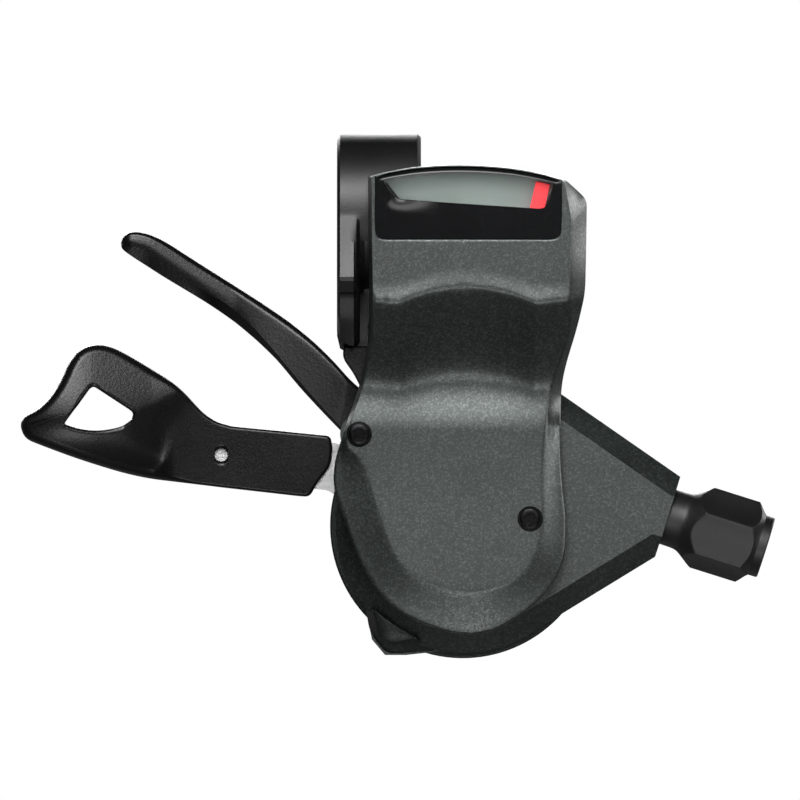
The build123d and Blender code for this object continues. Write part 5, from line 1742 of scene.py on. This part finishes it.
@dataclass
class CaseTab:
    """Raised tab at the foot of the case: a facet that leans down to the left, with steep sides.

    The skin is a grid round the facet's middle. Its rows run from the middle to the facet's edge, down the
    side to the outline and back to the middle behind.
    """

    near: float = 3.75
    lean: float = 0.15
    lean_from: Point = (-1.1, -65.8)
    lean_way: Point = (-0.555, -0.832)
    edge: float = 0.15
    edge_drop: float = 0.08
    foot: float = 0.1
    back: float = 2.0
    top: Tuple[Point, ...] = ((-1.1, -65.8), (2.6, -68.6), (6.4, -70.8), (1.9, -71.6), (0.1, -70.7))
    top_cuts: Tuple[float, ...] = (0.2, 2.0, 0.2, 0.8, 0.8)
    base: Tuple[Point, ...] = ((-2.3, -65.6), (4.0, -67.2), (9.6, -72.9), (1.2, -73.5), (-1.5, -70.0))
    base_cuts: Tuple[float, ...] = (0.6, 2.0, 0.8, 1.6, 1.6)
    arc: int = 6
    run: int = 6
    sharp: float = 30.0

    def level(self, plan: np.ndarray) -> np.ndarray:
        """Y of the facet: a plane that falls back with the distance from its long upper edge.

        Args:
            plan: Plan points, shape (n, 2).

        Returns:
            Y at each point.
        """
        from_x, from_z = self.lean_from
        way_x, way_z = self.lean_way
        return -self.near + self.lean * ((plan[:, 0] - from_x) * way_x + (plan[:, 1] - from_z) * way_z)

    def build(self) -> bpy.types.Object:
        """Work out the skin and make the piece.

        Returns:
            The tab.
        """
        rim = rounded_loop(np.array(self.top), np.array(self.top_cuts), self.arc, self.run)
        outline = rounded_loop(np.array(self.base), np.array(self.base_cuts), self.arc, self.run)
        inside = inset_loop(rim, np.full(len(rim), self.edge))
        middle = np.repeat(inside.mean(axis=0, keepdims=True), len(rim), axis=0)
        plan = np.stack([middle, inside, rim, outline, outline, middle], axis=0)
        foot = np.full(len(rim), self.foot)
        back = np.full(len(rim), self.back)
        edge = self.level(rim) + self.edge_drop
        y = np.stack([self.level(middle), self.level(inside), edge, foot, back, back])
        return make_round("case_tab", raise_plan(plan, y), self.sharp)


@dataclass
class CoverScrews:
    """The two cover screws, flush in the plate: a dark lip, a groove and a head with a six-lobed socket. The
    head is black oxide. The lip and groove round it take the same black as painted shade of a recess.

    Each is a grid turned round its screw. Its rows run inward from the lip, and those of the socket follow a
    circle whose radius swells and shrinks six times in a turn.
    """

    centres: Tuple[Point, ...] = ((-3.3, -36.7), (25.2, -50.8))
    lobes: int = 6
    radius: Tuple[float, ...] = (2.12, 2.12, 2.05, 1.96, 1.9, 1.72, 1.64, 1.5, 1.05, 0.86, 0.8, 0.4, 0.0)
    height: Tuple[float, ...] = (-2.0, 0.06, 0.12, 0.12, 0.04, 0.04, 0.14, 0.19, 0.22, 0.21, 0.05, 0.05, 0.05)
    swell: Tuple[float, ...] = (0.0, 0.0, 0.0, 0.0, 0.0, 0.0, 0.0, 0.0, 0.0, 0.13, 0.13, 0.03, 0.0)
    columns: int = 96
    sharp: float = 30.0

    def build(self, cover: MainCover) -> bpy.types.Object:
        """Work out both screws on the cover's face and make the piece.

        Args:
            cover: Cover that they sit in.

        Returns:
            Both screws in one piece.
        """
        turn = full_turn(self.columns)
        swell = np.array(self.swell)[:, None] * np.cos(self.lobes * turn)[None]
        reach = np.array(self.radius)[:, None] + swell
        centre = np.array(self.centres)[:, None, None]
        x = centre[..., 0] + reach[None] * np.cos(turn)
        z = centre[..., 1] + reach[None] * np.sin(turn)
        y = -(np.array(self.height)[None, :, None] + cover.face(x, z))
        one = grid_quads(len(self.radius), self.columns)
        quads = np.concatenate([one, one + reach.size])
        return make_piece("cover_screw_heads", np.stack([x, y, z], axis=-1), quads, self.sharp, True)


def enrol(piece: bpy.types.Object, wardrobe: Wardrobe, slot: Slot, body: str, *nodes: str) -> None:
    """Dress a finished piece, tie it to its body and hide the CAD nodes that it stands for.

    Args:
        piece: Finished piece.
        wardrobe: Finishes by slot.
        slot: Slot whose finish it takes.
        body: Body that it moves with.
        nodes: CAD nodes that it replaces, if any.
    """
    wardrobe.dress(piece, slot)
    if nodes:
        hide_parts(*nodes)
    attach(piece, body)
    log.info("%s: %d faces", piece.name, len(piece.data.polygons))


def main() -> None:
    """Build the studio, dress the CAD nodes and add the sub-assemblies in order."""
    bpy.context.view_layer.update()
    Studio().build()
    wardrobe = Wardrobe()
    CadDressing().dress(wardrobe)
    cover = MainCover()
    enrol(cover.build(), wardrobe, Slot.COVER, "housing", "main_cover")
    # The screws' black oxide also covers the lip and groove, as painted shade of the recess round each head.
    enrol(CoverScrews().build(cover), wardrobe, Slot.DARK_STEEL, "housing", "cover_screws")
    lens = DisplayLens()
    enrol(lens.build_frame(), wardrobe, Slot.GLOSS, "housing", "indicator_bezel")
    enrol(lens.build_pane(), wardrobe, Slot.WINDOW, "housing", "indicator_window")
    enrol(BracketCheek().build(), wardrobe, Slot.PLASTIC, "housing")
    enrol(CaseTab().build(), wardrobe, Slot.CASE, "housing")
    enrol(ThumbLever().build(), wardrobe, Slot.PLASTIC, "main_lever", "main_lever_pad")
    enrol(ReleaseLever().build(), wardrobe, Slot.PLASTIC, "release_lever", "release_lever")
    knob = AdjusterKnob().build()
    enrol(knob, wardrobe, Slot.PLASTIC, "adjuster", "adjuster_knob")
    # The knob is of the levers' plastic but has the band's matt finish
    wardrobe.dress(knob, Slot.BAND)
    enrol(ClampBand().build(), wardrobe, Slot.BAND, "housing", "clamp_band")


if __name__ == "__main__":
    main()
